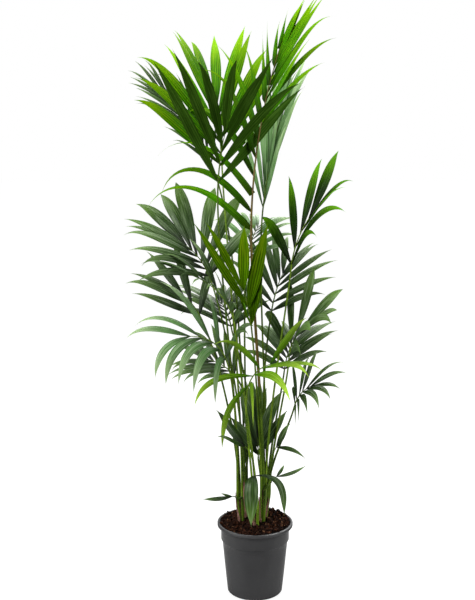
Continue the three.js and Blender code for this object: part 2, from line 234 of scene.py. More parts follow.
STEMS = (
    Stem("left", (-44, -8), (-5, -1), 78, 10, 12.5),
    Stem("left_rear", (-28, 30), (-6, 6), 92, 9.5, 12.5),
    Stem("front", (2, -36), (0, -5), 62, 9, 12),
    Stem("right", (22, -4), (4, 0), 104, 10, 12.5),
    Stem("right_rear", (30, 32), (9, 6), 84, 9.5, 12.5),
)

FRONDS = (
    Frond(
        "top_fan", "left_rear", Shade.FRESH, (-103, 50, 1345), (-128, 150, 1560), 6, arch=15,
        long=362, wide=33, spread=(50, 8), bow=(0.2, 0.1), first=0.98, last=0.8, fine=7, blunt=0.3,
        plain=0.75, right={"first": 0.78, "spread": (38, 8)},
    ),
    Frond(
        "top_front", "left", Shade.MID, (-114, -40, 1300), (-92, -115, 1450), 4, arch=12,
        long=345, wide=31, spread=(40, 15), bow=(0.15, 0.1), first=1.1,
        right={"long": 375, "spread": (29, 12)},
    ),
    Frond(
        "left_feather", "left_rear", Shade.DEEP, (-133, 75, 1350), (-285, 110, 1570), 8, arch=15,
        long=200, wide=12, spread=(24, 12), lift=0, bow=(0.5, 0.6), first=0.7, roll=-65, fine=11,
    ),
    Frond(
        "leader", "right", Shade.FRESH, (-15, -30, 1155), (72, 40, 1708), 10, arch=28,
        long=330, wide=18, spread=(20, 7), bow=(0.9, 0.2), first=0.8, last=0.48, roll=35, fine=11,
        plain=0.1,
        left={"long": 350, "wide": 20, "first": 1.15, "last": 0.36, "spread": (46, 7), "bow": (5, 0.1),
              "blunt": -1.1},
        right={"start": 320, "spread": (24, 14)},
    ),
    Frond(
        "right_rear", "right_rear", Shade.SILVER, (22, 60, 1215), (88, 130, 1530), 8, arch=12,
        long=330, wide=15, spread=(15, 7), bow=(0.6, 0.3), last=0.6, fine=13, plain=0, roll=55,
        right={"spread": (3, 2)},
    ),
    Frond(
        "upper_left", "left_rear", Shade.DEEP, (-140, 15, 1010), (-215, 40, 1110), 6, roll=-55,
        long=250, wide=40, spread=(58, 12), bow=(0.9, 0.6), first=0.9, last=0.85, blunt=0.7,
        left={"wide": 25, "blunt": 0},
    ),
    Frond(
        "mid_left", "left", Shade.DEEP, (-170, 20, 887), (-225, 35, 955), 3, arch=5, roll=-50,
        long=240, wide=27, spread=(42, 14), first=0.9,
    ),
    Frond(
        "arched_left", "front", Shade.DEEP, (-60, -20, 835), (-205, -60, 1035), 7, arch=40,
        long=140, wide=20, spread=(60, 25), bow=(2.6, 2), twist=40, fine=8,
        right={"long": 225, "wide": 24, "bow": (1.6, 1.4), "twist": 0},
    ),
    Frond(
        "low_left", "left", Shade.SILVER, (-88, -45, 760), (-200, -90, 850), 6, arch=25, roll=-40,
        long=265, wide=24, spread=(58, 20), bow=(2.8, 2), fine=5, plain=0.9,
        left={"wide": 28, "bow": (7, 4.5)},
    ),
    Frond(
        "centre", "right", Shade.FRESH, (-13, -10, 860), (-38, -48, 985), 3, arch=5,
        long=345, wide=42, spread=(56, 10), bow=(0.1, 0.1), left={"spread": (30, 12)},
    ),
    Frond(
        "upper_right", "right", Shade.MID, (108, 0, 1045), (160, -20, 1200), 4, roll=45,
        long=280, wide=46, spread=(48, 10), bow=(0.8, 0.3), blunt=0.4,
        right={"bow": (3, 0.6), "wide": 24, "spread": (36, 10), "blunt": 0},
    ),
    Frond(
        "rear_right", "right_rear", Shade.DEEP, (50, 70, 890), (90, 140, 1010), 4, roll=20,
        long=235, wide=24, spread=(55, 15), bow=(0.8, 0.4), fine=6,
    ),
    Frond(
        "mid_right", "right_rear", Shade.DEEP, (104, 10, 755), (140, -15, 855), 4, roll=45,
        long=250, wide=46, spread=(50, 10), bow=(0.6, 0.5), blunt=1,
        right={"wide": 36, "blunt": 0.8, "bow": (2, 0.6)},
    ),
    Frond(
        "low_right", "right_rear", Shade.DEEP, (120, -20, 610), (168, -50, 685), 5, roll=35,
        long=182, wide=22, spread=(75, 20), bow=(2, 1.6), fine=6,
    ),
    Frond(
        "young_front", "front", Shade.LIME, (-24, -62, 685), (44, -92, 765), 4, arch=14, roll=35,
        long=270, wide=25, spread=(68, 14), bow=(3.4, 0.8), first=1,
        left={"roll": 110, "long": 225, "wide": 20, "last": 1.05, "spread": (158, 34), "bow": (6, 0)},
    ),
    Frond(
        "rear_left", "left_rear", Shade.DEEP, (-60, 65, 685), (-150, 100, 735), 4, roll=-40,
        long=180, wide=21, spread=(50, 20), bow=(1.4, 1), fine=6,
    ),
    Frond(
        "rear_centre", "left_rear", Shade.SILVER, (-25, 120, 1050), (10, 210, 1150), arch=15,
        long=190, wide=18, spread=(60, 20), bow=(1.8, 1.4), fine=7, plain=0.9,
    ),
    Frond(
        "back_left", "left_rear", Shade.DEEP, (-75, 125, 830), (-115, 220, 905), arch=15,
        long=220, wide=25, spread=(60, 20), bow=(1, 0.8), fine=7,
    ),
    Frond(
        "back_right", "right_rear", Shade.DEEP, (95, 120, 690), (130, 205, 775), arch=15,
        long=210, wide=25, spread=(60, 20), bow=(1, 0.8), fine=7,
    ),
    Frond(
        "rear_low", "right", Shade.DEEP, (10, 20, 435), (5, 40, 520), 2, arch=5,
        long=210, wide=38, spread=(34, 8), bow=(0.2, 0.2), fine=4,
    ),
    Frond(
        "seed_front", "front", Shade.DEEP, (-6, -66, 396), (-5, -84, 410), 1, arch=2,
        long=235, wide=42, spread=(65, 65), bow=(15, 15), lift=5,
        left={"long": 275, "wide": 40, "twist": 70},
        right={"long": 262, "wide": 50, "spread": (15, 15), "bow": (26, 26)},
    ),
    Frond(
        "seed_left", "left", Shade.DEEP, (-56, -32, 318), (-72, -38, 327), 1, arch=2,
        long=145, wide=17, spread=(10, 10), bow=(-1.1, -1.1), roll=-60, right={"long": 60, "wide": 9},
    ),
    Frond(
        "seed_right", "right", Shade.DEEP, (50, -10, 365), (67, -10, 382), 1, arch=2,
        long=150, wide=15, spread=(14, 14), bow=(-1, -1), roll=50,
        left={"long": 60, "wide": 12, "spread": (22, 22)},
    ),
    Frond(
        "seed_mid_right", "right_rear", Shade.DEEP, (57, 0, 450), (66, -8, 478), 1, arch=2,
        long=215, wide=17, spread=(40, 40), bow=(1.5, 1.5), roll=80,
        left={"long": 145, "wide": 26, "spread": (12, 12), "bow": (0, 0)},
    ),
    Frond(
        "seed_mid_left", "front", Shade.DEEP, (-14, -24, 460), (-34, -34, 490), 1, arch=2,
        long=195, wide=37, spread=(25, 25), bow=(0.4, 0.4), roll=-40,
    ),
)


# ---------------------------------------------------------------- lines that limbs follow


class Line:
    """A smooth line that runs from 0 to 1."""

    def at(self, t: Vec) -> Vec:
        """The points at each t, one a row."""
        raise NotImplementedError

    def point(self, t: float) -> Vec:
        """The point at t."""
        return self.at(np.array([t]))[0]

    def tangent(self, t: float) -> Vec:
        """The direction of the line at t."""
        near = 1e-4
        return unit(self.point(min(t + near, 1)) - self.point(max(t - near, 0)))

    def points(self, count: int) -> Vec:
        """The ends of a number of even steps along the line."""
        return self.at(np.linspace(0, 1, count + 1))

    def length(self) -> float:
        """The line's length."""
        steps = 200
        return float(np.linalg.norm(np.diff(self.points(steps), axis=0), axis=1).sum())


@dataclass(frozen=True, eq=False)
class RibLine(Line):
    """A rib: an even bow from its collar to its tip. face is the upper side of its frond."""

    start: Vec
    middle: Vec
    end: Vec
    face: Vec

    @classmethod
    def of(cls, frond: Frond) -> "RibLine":
        """The rib of a frond."""
        start, end = np.array(frond.collar, float), np.array(frond.tip, float)
        face = square_to(unit(end - start), UP)
        return cls(start, (start + end) / 2 + face * 2 * frond.arch, end, face)

    def at(self, t: Vec) -> Vec:
        """The points at each t, one a row."""
        s = t[:, None]
        return (1 - s) ** 2 * self.start + 2 * s * (1 - s) * self.middle + s**2 * self.end


@dataclass(frozen=True, eq=False)
class StalkLine(Line):
    """A stalk: it leaves its stem straight up, meets its rib in line and may bow aside."""

    foot: Vec
    low: Vec
    high: Vec
    end: Vec
    aside: Vec

    def at(self, t: Vec) -> Vec:
        """The points at each t, one a row."""
        s = t[:, None]
        q = 1 - s
        base = q**3 * self.foot + 3 * q**2 * s * self.low + 3 * q * s**2 * self.high + s**3 * self.end
        return base + self.aside * (4 * s * q) ** 2


@dataclass(frozen=True, eq=False)
class Limb:
    """A whole limb, from the mix to its rib's tip, as a row of points with a radius at each."""

    points: Vec
    radii: Vec
    look_ahead: float = 3

    def at(self, distance: float) -> tuple[Vec, Vec, float]:
        """One place on the limb.

        Args:
            distance: How far from its foot, in millimetres.

        Returns:
            The limb's middle, direction and radius there.
        """
        steps = np.linalg.norm(np.diff(self.points, axis=0), axis=1)
        ways = np.concatenate([[0.0], np.cumsum(steps)])
        here, ahead = (
            np.array([np.interp(way, ways, self.points[:, axis]) for axis in range(3)])
            for way in (distance, distance + self.look_ahead)
        )
        return here, unit(ahead - here), float(np.interp(distance, ways, self.radii))


@dataclass
class Clump:
    """The five palms' limbs, grown by one rule from the tables of stems and fronds."""

    stems: Sequence[Stem] = STEMS
    fronds: Sequence[Frond] = FRONDS
    clear: float = 0.3
    stalk_clear: float = 1
    ring: float = 8.4
    stalk_radius: Pair = (3.4, 2.5)
    rib_tip_radius: float = 1.1
    base_radius: Pair = (5.3, 4.3)
    base_gather: float = 0.68
    base_sunk: float = 10
    base_fade: float = 170
    limb_parts: tuple[int, int, int] = (12, 46, 22)
    hold: Pair = (0.3, 0.2)
    sways: Sequence[float] = (0, 9, -9, 18, -18, 27, -27, 36, -36)
    parts: int = 80

    def __post_init__(self) -> None:
        """Lays out every rib and then every stalk."""
        self.ribs = {frond.name: RibLine.of(frond) for frond in self.fronds}
        self.stalks: dict[str, StalkLine] = {}
        for frond in self.fronds:
            ways = (self.stalk(frond, sway) for sway in self.sways)
            self.stalks[frond.name] = next(way for way in ways if self.is_free(way))

    def stem_of(self, frond: Frond) -> Stem:
        """The stem that a frond's stalk stands on."""
        return next(stem for stem in self.stems if stem.name == frond.stem)

    def bearing(self, frond: Frond) -> float:
        """The bearing from the stem's top to a frond's collar."""
        way = np.array(frond.collar) - self.stem_of(frond).top()
        return math.atan2(way[1], way[0])

    def foot(self, frond: Frond) -> Vec:
        """Where a stalk stands: the tallest in the middle of the stem's top, the others round it."""
        foot = self.stem_of(frond).top() + UP * self.clear
        same = [other for other in self.fronds if other.stem == frond.stem]
        tallest, *others = sorted(same, key=lambda other: -other.collar[2])
        if frond is tallest:
            return foot
        others.sort(key=self.bearing)
        slot = 2 * math.pi / len(others)
        turn = sum(self.bearing(other) - k * slot for k, other in enumerate(others)) / len(others)
        angle = turn + next(k for k, other in enumerate(others) if other is frond) * slot
        return foot + self.ring * np.array([math.cos(angle), math.sin(angle), 0])

    def stalk(self, frond: Frond, sway: float) -> StalkLine:
        """A stalk's line.

        Args:
            frond: The frond that it carries.
            sway: How far it bows aside, in millimetres.

        Returns:
            The line from the stem's top to the collar.
        """
        rib = self.ribs[frond.name]
        foot = self.foot(frond)
        along = rib.tangent(0)
        end = rib.point(0) - along * self.clear
        reach = float(np.linalg.norm(end - foot))
        aside = unit(np.cross(end - foot, UP)) * sway
        low = foot + UP * reach * self.hold[0]
        return StalkLine(foot, low, end - along * reach * self.hold[1], end, aside)

    def base(self, frond: Frond) -> StalkLine:
        """The line of the leaf base that runs from in the mix up to a stalk's foot."""
        stem, head = self.stem_of(frond), self.stalks[frond.name].foot
        aside = (head - stem.top()) * (1, 1, 0)
        foot = np.array([*stem.foot, stem.stand_height - self.base_sunk]) + aside * self.base_gather
        reach = UP * (head[2] - foot[2]) * self.hold[0]
        return StalkLine(foot, foot + reach, head - reach, head, np.zeros(3))

    def limb(self, frond: Frond) -> Limb:
        """A frond's whole limb: leaf base, stalk and rib."""
        lines = (self.base(frond), self.stalks[frond.name], self.ribs[frond.name])
        low, middle, high = (line.points(count) for line, count in zip(lines, self.limb_parts))
        shares = [np.linspace(0, 1, count + 1) for count in self.limb_parts]
        extra = self.base_radius[1] - self.stalk_radius[0]
        swell = extra * np.exp(-shares[1] * lines[1].length() / self.base_fade)
        radii = (
            between(self.base_radius, shares[0])[:-1],
            between(self.stalk_radius, shares[1]) + swell,
            between((self.stalk_radius[1], self.rib_tip_radius), shares[2])[1:],
        )
        return Limb(np.concatenate([low[:-1], middle, high[1:]]), np.concatenate(radii))

    def is_free(self, way: StalkLine) -> bool:
        """Whether a stalk along this line keeps clear of the stalks that stand already."""
        radii = between(self.stalk_radius, np.linspace(0, 1, self.parts + 1))
        least = radii[:, None] + radii[None, :] + self.stalk_clear
        points = way.points(self.parts)
        return all(
            (np.linalg.norm(points[:, None] - other.points(self.parts)[None], axis=2) > least).all()
            for other in self.stalks.values()
        )


# ---------------------------------------------------------------- meshes


class Skin:
    """The points and faces of one piece while it grows, in millimetres."""

    def __init__(self) -> None:
        """Starts with no points."""
        self.points: list[Vec] = []
        self.uvs: list[Vec] = []
        self.faces: Faces = []
        self.slots: list[int] = []
        self.creases: list[tuple[int, int]] = []
        self.count = 0

    def add(
        self,
        points: Vec,
        faces: Faces,
        slots: Sequence[int] | int = 0,
        uvs: Vec | None = None,
        creases: Sequence[tuple[int, int]] = (),
    ) -> None:
        """Adds one closed shape.

        Args:
            points: Its points, one a row.
            faces: Its faces, by number of point.
            slots: The finish of each face, or one for all.
            uvs: Where each point lies on the shape's own flat map.
            creases: Edges that stay sharp, by number of point.
        """
        self.points.append(points)
        self.uvs.append(np.zeros((len(points), 2)) if uvs is None else uvs)
        self.faces += [tuple(k + self.count for k in face) for face in faces]
        self.slots += [slots] * len(faces) if isinstance(slots, int) else list(slots)
        self.creases += [(a + self.count, b + self.count) for a, b in creases]
        self.count += len(points)

    def mesh(self, name: str, materials: Sequence[Material]) -> Mesh:
        """The mesh of all that was added, in metres.

        Args:
            name: The mesh's name.
            materials: Its finishes, in the order of the slots.

        Returns:
            The mesh.
        """
        mesh = bpy.data.meshes.new(name)
        mesh.from_pydata(np.concatenate(self.points) * MM, [], self.faces)
        mesh.polygons.foreach_set("material_index", self.slots)
        mesh.shade_smooth()
        for material in materials:
            mesh.materials.append(material)
        uvs = np.concatenate(self.uvs)
        corners = np.empty(len(mesh.loops), np.int32)
        mesh.loops.foreach_get("vertex_index", corners)
        layer = mesh.uv_layers.new(name="blade")
        layer.data.foreach_set("uv", uvs[corners].astype(np.float32).ravel())
        self.sharpen(mesh)
        mesh.validate()
        return mesh

    def sharpen(self, mesh: Mesh) -> None:
        """Marks the creases of a mesh as sharp."""
        if not self.creases:
            return
        ends = np.empty(2 * len(mesh.edges), np.int32)
        mesh.edges.foreach_get("vertices", ends)
        keys = np.sort(ends.reshape(-1, 2), axis=1).astype(np.int64) @ np.array([self.count, 1])
        wanted = np.sort(np.array(self.creases), axis=1).astype(np.int64) @ np.array([self.count, 1])
        sharp = mesh.attributes.new("sharp_edge", "BOOLEAN", "EDGE")
        sharp.data.foreach_set("value", np.isin(keys, wanted))


def in_scene(name: str, data: bpy.types.ID) -> bpy.types.Object:
    """A new object in the scene.

    Args:
        name: Its name.
        data: Its mesh, lamp or camera.

    Returns:
        The object.
    """
    thing = bpy.data.objects.new(name, data)
    bpy.context.scene.collection.objects.link(thing)
    return thing


def made_plain(carrier: bpy.types.Object) -> Mesh:
    """The plain mesh that an object's modifiers give.

    Args:
        carrier: The object. It is used up, and its own mesh too.

    Returns:
        The mesh.
    """
    view = bpy.context.evaluated_depsgraph_get()
    made = bpy.data.meshes.new_from_object(carrier.evaluated_get(view), depsgraph=view)
    mesh = carrier.data
    bpy.data.objects.remove(carrier)
    bpy.data.meshes.remove(mesh)
    return made


def placed(name: str, mesh: Mesh, nodes: Sequence[str] = ()) -> bpy.types.Object:
    """Puts a finished mesh in the scene as a piece of the part.

    Args:
        name: The piece's name.
        mesh: Its mesh, already in place.
        nodes: The solids that it stands for.

    Returns:
        The piece.
    """
    mesh.name = name
    piece = in_scene(name, mesh)
    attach(piece, "root")
    if nodes:
        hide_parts(*nodes)
    LOG.info("%s: %d faces, stands for %d solids", name, len(mesh.polygons), len(nodes))
    return piece


def grid_faces(rows: int, columns: int, ring: bool) -> Faces:
    """The faces of a grid of points that is numbered row by row.

    Args:
        rows: Rows of points.
        columns: Points in a row.
        ring: Whether each row closes on itself.

    Returns:
        Four-sided faces, which point out of a ring whose points run anticlockwise.
    """
    faces: Faces = []
    for i in range(rows - 1):
        for j in range(columns if ring else columns - 1):
            a, b = i * columns + j, i * columns + (j + 1) % columns
            faces.append((a, b, b + columns, a + columns))
    return faces


def capped_faces(rows: int, columns: int) -> Faces:
    """The faces of a stack of rings of points, with both ends closed.

    Args:
        rows: How many rings.
        columns: Points in a ring.

    Returns:
        The faces, which point outwards where the rings run anticlockwise.
    """
    last = (rows - 1) * columns
    ends = [tuple(reversed(range(columns))), tuple(range(last, last + columns))]
    return [*grid_faces(rows, columns, True), *ends]


def tube(points: Vec, radii: Vec, sides: int) -> tuple[Vec, Faces]:
    """A plain closed tube.

    Args:
        points: The line that it follows.
        radii: Its radius at each point.
        sides: How many sides it has.

    Returns:
        Its points and faces.
    """
    side = np.array([1.0, 0.0, 0.0])
    rings = []
    for k, point in enumerate(points):
        along = unit(points[min(k + 1, len(points) - 1)] - points[max(k - 1, 0)])
        a = square_to(along, side)
        b = np.cross(along, a)
        for angle in angles_round(sides):
            rings.append(point + radii[k] * (a * math.cos(angle) + b * math.sin(angle)))
    return np.array(rings), capped_faces(len(points), sides)


def shell(outer: Vec, inner: Vec) -> tuple[Vec, Faces]:
    """A closed sheet between two grids of points of the same size.

    Args:
        outer: The outer points, by row and column.
        inner: The inner points, by row and column.

    Returns:
        Its points and faces.
    """
    rows, columns = outer.shape[:2]
    half = rows * columns
    faces = grid_faces(rows, columns, False)
    faces += [tuple(k + half for k in reversed(face)) for face in faces]
    rim = [*range(columns)]
    rim += [i * columns + columns - 1 for i in range(1, rows)]
    rim += [(rows - 1) * columns + j for j in range(columns - 2, -1, -1)]
    rim += [i * columns for i in range(rows - 2, 0, -1)]
    for a, b in zip(rim, rim[1:] + rim[:1]):
        faces.append((b, a, a + half, b + half))
    return np.concatenate([outer.reshape(-1, 3), inner.reshape(-1, 3)]), faces


# ---------------------------------------------------------------- node trees


class Graph:
    """Adds nodes to one tree and links them."""

    def __init__(self, tree: Tree) -> None:
        """Works on this tree."""
        self.tree = tree

    @classmethod
    def group(
        cls, name: str, kind: str, inputs: Sequence[tuple[str, str, Any]], outputs: Sequence[tuple[str, str]]
    ) -> tuple["Graph", Sockets]:
        """A new node group with its sockets.

        Args:
            name: The group's name.
            kind: The type of tree.
            inputs: Name, kind and first value of each input.
            outputs: Name and kind of each output.

        Returns:
            The graph of that group, and its inputs as sockets to link from.
        """
        tree = bpy.data.node_groups.new(name, kind)
        for label, socket, value in inputs:
            item = tree.interface.new_socket(name=label, in_out="INPUT", socket_type="NodeSocket" + socket)
            if value is not None:
                item.default_value = value
        for label, socket in outputs:
            tree.interface.new_socket(name=label, in_out="OUTPUT", socket_type="NodeSocket" + socket)
        graph = cls(tree)
        return graph, graph.add("NodeGroupInput").outputs

    def closed(self, outputs: Mapping[str | int, Any]) -> Tree:
        """The finished tree of a group, once its outputs are linked."""
        self.add("NodeGroupOutput", outputs)
        return self.tree

    def feed(self, node: Node, inputs: Mapping[str | int, Any]) -> None:
        """Sets or links inputs of a node.

        Args:
            node: The node.
            inputs: What each input, by name or number, is set to or linked from.
        """
        for key, value in inputs.items():
            if isinstance(value, Socket):
                self.tree.links.new(value, node.inputs[key])
            else:
                node.inputs[key].default_value = value

    def add(self, kind: str, inputs: Mapping[str | int, Any] | None = None, **settings: Any) -> Node:
        """Adds a node.

        Args:
            kind: The type of node.
            inputs: What each input, by name or number, is set to or linked from.
            settings: The node's own settings.

        Returns:
            The node.
        """
        node = self.tree.nodes.new(kind)
        for key, value in settings.items():
            setattr(node, key, value)
        self.feed(node, inputs or {})
        return node

    def math(self, operation: str, a: Any, b: Any = 0.0) -> Socket:
        """The result of a sum on one or two values or sockets."""
        return self.add("ShaderNodeMath", {0: a, 1: b}, operation=operation).outputs[0]

    def times(self, a: Any, b: Any) -> Socket:
        """One value or socket times another."""
        return self.math("MULTIPLY", a, b)

    def mixed(self, a: Any, a_weight: float, b: Any, b_weight: float) -> Socket:
        """The sum of two values, each times its weight."""
        return self.math("ADD", self.times(a, a_weight), self.times(b, b_weight))

    def vector(self, operation: str, inputs: Mapping[str | int, Any]) -> Socket:
        """The result of a sum on vectors."""
        return self.add("ShaderNodeVectorMath", inputs, operation=operation).outputs[0]

    def cloud(self, where: Socket, scale: Any = 1.0, detail: Any = 2.0, roughness: float = 0.5) -> Socket:
        """Soft noise from 0 to 1."""
        sizes = {"Vector": where, "Scale": scale, "Detail": detail, "Roughness": roughness}
        return self.add("ShaderNodeTexNoise", sizes).outputs[0]

    def ramp(self, value: Any, low: float, high: float, to: Pair = (0.0, 1.0)) -> Socket:
        """A value that rises smoothly from to[0] at low to to[1] at high."""
        sizes = {0: value, 1: low, 2: high, 3: to[0], 4: to[1]}
        return self.add("ShaderNodeMapRange", sizes, interpolation_type="SMOOTHSTEP").outputs[0]

    def blend(self, share: Any, a: Any, b: Any, mode: str = "MIX") -> Socket:
        """Colour a with a share of colour b laid on it, in the way that mode names."""
        node = self.add("ShaderNodeMix", {}, data_type="RGBA", blend_type=mode)
        self.feed(node, {0: share, 6: a, 7: b})
        return node.outputs[2]

    def place(self) -> Socket:
        """The place on the piece, in metres."""
        return self.add("ShaderNodeTexCoord").outputs["Object"]

    def flat_place(self) -> Socket:
        """The place on a leaflet's own flat map."""
        return self.add("ShaderNodeUVMap", uv_map="blade").outputs[0]

    def effect(self, group: Tree, **inputs: Any) -> Sockets:
        """What a shared effect gives for some inputs, as sockets to link from."""
        return self.add("ShaderNodeGroup", inputs, node_tree=group).outputs


class Effects:
    """Effects that several finishes share, each a shader node group that is built once."""

    def __init__(self) -> None:
        """Builds every group."""
        self.veins_and_pleat_shade = self.vein_lines()
        self.patches = self.cloudy_patches()
        self.streaks = self.grown_streaks()
        self.specks = self.loose_specks()
        self.wax_and_sheen_streaks = self.wax_bloom()

    def vein_lines(self) -> Tree:
        """Lines that run along a leaflet, with its midrib, and that fade before its tip.

        Returns:
            The group. Along is 0 at the leaflet's root and 1 at its tip.
        """
        graph, given = Graph.group(
            "vein_lines", "ShaderNodeTree",
            [("Lines", "Float", 2.5), ("Fine Lines", "Float", 12.5)],
            [("Mask", "Float"), ("Height", "Float"), ("Along", "Float")],
        )
        fine_share, wave_relief, fine_relief = 0.25, 0.35, 0.3
        place = graph.add("ShaderNodeSeparateXYZ", {0: graph.flat_place()}).outputs
        off = graph.math("ABSOLUTE", graph.math("SUBTRACT", place[0], 0.5))
        wave, fine = (
            graph.math("COSINE", graph.times(graph.times(off, given[lines]), 4 * math.pi))
            for lines in ("Lines", "Fine Lines")
        )
        fine = graph.times(fine, fine_share)
        fade = graph.ramp(place[1], 0.88, 0.55)
        # Mask: where the lines darken the colour, partly as veins and partly as painted shade in the pleats.
        mask = graph.times(graph.ramp(graph.math("ADD", wave, fine), 0.0, 1.1), fade)
        midrib = graph.ramp(off, 0.055, 0.015)
        relief = graph.math("ADD", graph.mixed(wave, wave_relief, fine, fine_relief), midrib)
        height = graph.times(relief, fade)
        return graph.closed({"Mask": mask, "Height": height, "Along": place[1]})

    def cloudy_patches(self) -> Tree:
        """Soft patches through the whole piece."""
        graph, given = Graph.group(
            "cloudy_patches", "ShaderNodeTree",
            [("Scale", "Float", 20.0), ("Detail", "Float", 3.0)], [("Value", "Float")],
        )
        cloud = graph.cloud(graph.place(), given["Scale"], given["Detail"])
        return graph.closed({"Value": graph.ramp(cloud, 0.3, 0.7)})

    def grown_streaks(self) -> Tree:
        """Long upright streaks, as in fibrous or ribbed skin."""
        graph, given = Graph.group(
            "grown_streaks", "ShaderNodeTree",
            [("Stretch", "Vector", (400.0, 400.0, 14.0)), ("Detail", "Float", 4.0)],
            [("Value", "Float")],
        )
        drawn = graph.vector("MULTIPLY", {0: graph.place(), 1: given["Stretch"]})
        cloud = graph.cloud(drawn, detail=given["Detail"], roughness=0.6)
        return graph.closed({"Value": graph.ramp(cloud, 0.28, 0.72)})

    def loose_specks(self) -> Tree:
        """Small scattered specks, as of dust and crumbs."""
        graph, given = Graph.group(
            "loose_specks", "ShaderNodeTree",
            [("Scale", "Float", 300.0), ("Share", "Float", 0.2)], [("Mask", "Float")],
        )
        where = graph.place()
        cells = graph.add("ShaderNodeTexVoronoi", {"Vector": where, "Scale": given["Scale"]}).outputs[0]
        edge = graph.times(graph.cloud(where, 60.0), given["Share"])
        return graph.closed({"Mask": graph.ramp(graph.math("SUBTRACT", edge, cells), 0.0, 0.03)})

    def wax_bloom(self) -> Tree:
        """Pale streaks along a leaflet, each leaflet with its own: partly wax bloom and partly painted sheen.
        """
        graph, given = Graph.group(
            "wax_bloom", "ShaderNodeTree",
            [("Across", "Float", 7.0), ("Along", "Float", 1.6), ("Spread", "Float", 14.0)],
            [("Mask", "Float")],
        )
        drawn = graph.add("ShaderNodeCombineXYZ", {0: given["Across"], 1: given["Along"]}).outputs[0]
        streak = graph.vector("MULTIPLY", {0: graph.flat_place(), 1: drawn})
        shift = graph.vector("SCALE", {0: graph.place(), "Scale": given["Spread"]})
        cloud = graph.cloud(graph.vector("ADD", {0: streak, 1: shift}))
        return graph.closed({"Mask": graph.ramp(cloud, 0.42, 0.68)})


EFFECTS = Effects()


def new_finish(name: str) -> tuple[Material, Graph, Node]:
    """An empty material.

    Args:
        name: The material's name.

    Returns:
        The material, its graph and its shader.
    """
    material = bpy.data.materials.new(name)
    material.use_nodes = True
    graph = Graph(material.node_tree)
    shader = next(node for node in material.node_tree.nodes if node.type == "BSDF_PRINCIPLED")
    return material, graph, shader


@dataclass(frozen=True)
class Relief:
    """How deep a surface's small relief is, in metres, and how strongly it shows."""

    depth: float
    strength: float

    def dress(
        self,
        graph: Graph,
        shader: Node,
        colour: Socket,
        rough: Socket,
        height: Socket,
        gloss: float,
    ) -> None:
        """Gives a shader its colour, roughness, relief and gloss.

        Args:
            graph: The material's graph.
            shader: Its shader.
            colour: The colour.
            rough: The roughness.
            height: Where the surface rises and falls, for the depth.
            gloss: The gloss, the same all over.
        """
        bumps = {"Height": height, "Distance": self.depth, "Strength": self.strength}
        normal = graph.add("ShaderNodeBump", bumps).outputs[0]
        graph.feed(
            shader,
            {"Base Color": colour, "Roughness": rough, "Normal": normal, "Specular IOR Level": gloss},
        )


@dataclass(frozen=True)
class LeafFinish:
    """One stretch of one side of a leaflet: a pleated skin whose tone runs along it.

    The tone darkens towards the root as painted shade inside the crown, and pales towards the
    tip, partly as the leaf's own tone and partly as painted light through it. Its pale wax
    streaks are partly wax and partly painted sheen, and its vein lines darken partly as veins
    and partly as painted shade in the pleats.
    """

    name: str
    start: Colour
    end: Colour
    wax_and_sheen_colour: Colour
    reach: Pair = (0.0, 1.0)
    rough: Pair = (0.38, 0.55)
    relief: Relief = Relief(0.00025, 0.8)
    vein_and_pleat_shade_tone: float = 0.16
    vein_and_pleat_shade_strength: float = 0.85
    patch_tone: float = 0.7
    patch_strength: float = 0.4
    patch_scale: float = 16.0
    wax_and_sheen_reach: Pair = (0.1, 0.75)
    wax_and_sheen_at_root: float = 0.2
    wax_and_sheen_strength: float = 0.35
    gloss: float = 0.16

    def material(self) -> Material:
        """The material of this finish."""
        material, graph, shader = new_finish(self.name)
        veins_and_pleat_shade = graph.effect(EFFECTS.veins_and_pleat_shade)
        wax_and_sheen_streaks = graph.effect(EFFECTS.wax_and_sheen_streaks)[0]
        patches = graph.effect(EFFECTS.patches, Scale=self.patch_scale)[0]
        # Painted shade and light: darker towards the root for the shade inside the crown, paler towards the
        # tip, partly the leaf's own tone and partly light through it.
        colour = graph.blend(graph.ramp(veins_and_pleat_shade["Along"], *self.reach), self.start, self.end)
        # Pale streaks, partly wax bloom and partly painted sheen, stronger towards the tip.
        wax_and_sheen_span = (self.wax_and_sheen_at_root * self.wax_and_sheen_strength, self.wax_and_sheen_strength)
        wax_and_sheen_share = graph.ramp(veins_and_pleat_shade["Along"], *self.wax_and_sheen_reach, wax_and_sheen_span)
        colour = graph.blend(graph.times(wax_and_sheen_streaks, wax_and_sheen_share), colour, self.wax_and_sheen_colour)
        # The vein lines darken the colour partly as veins and partly as painted shade in the pleats; the
        # patches are the leaf's own uneven tone.
        for share, strength, tone in (
            (veins_and_pleat_shade["Mask"], self.vein_and_pleat_shade_strength, self.vein_and_pleat_shade_tone),
            (patches, self.patch_strength, self.patch_tone),
        ):
            colour = graph.blend(graph.times(share, strength), colour, grey(tone), "MULTIPLY")
        rough = graph.ramp(patches, 0.0, 1.0, self.rough)
        self.relief.dress(graph, shader, colour, rough, veins_and_pleat_shade["Height"], self.gloss)
        return material


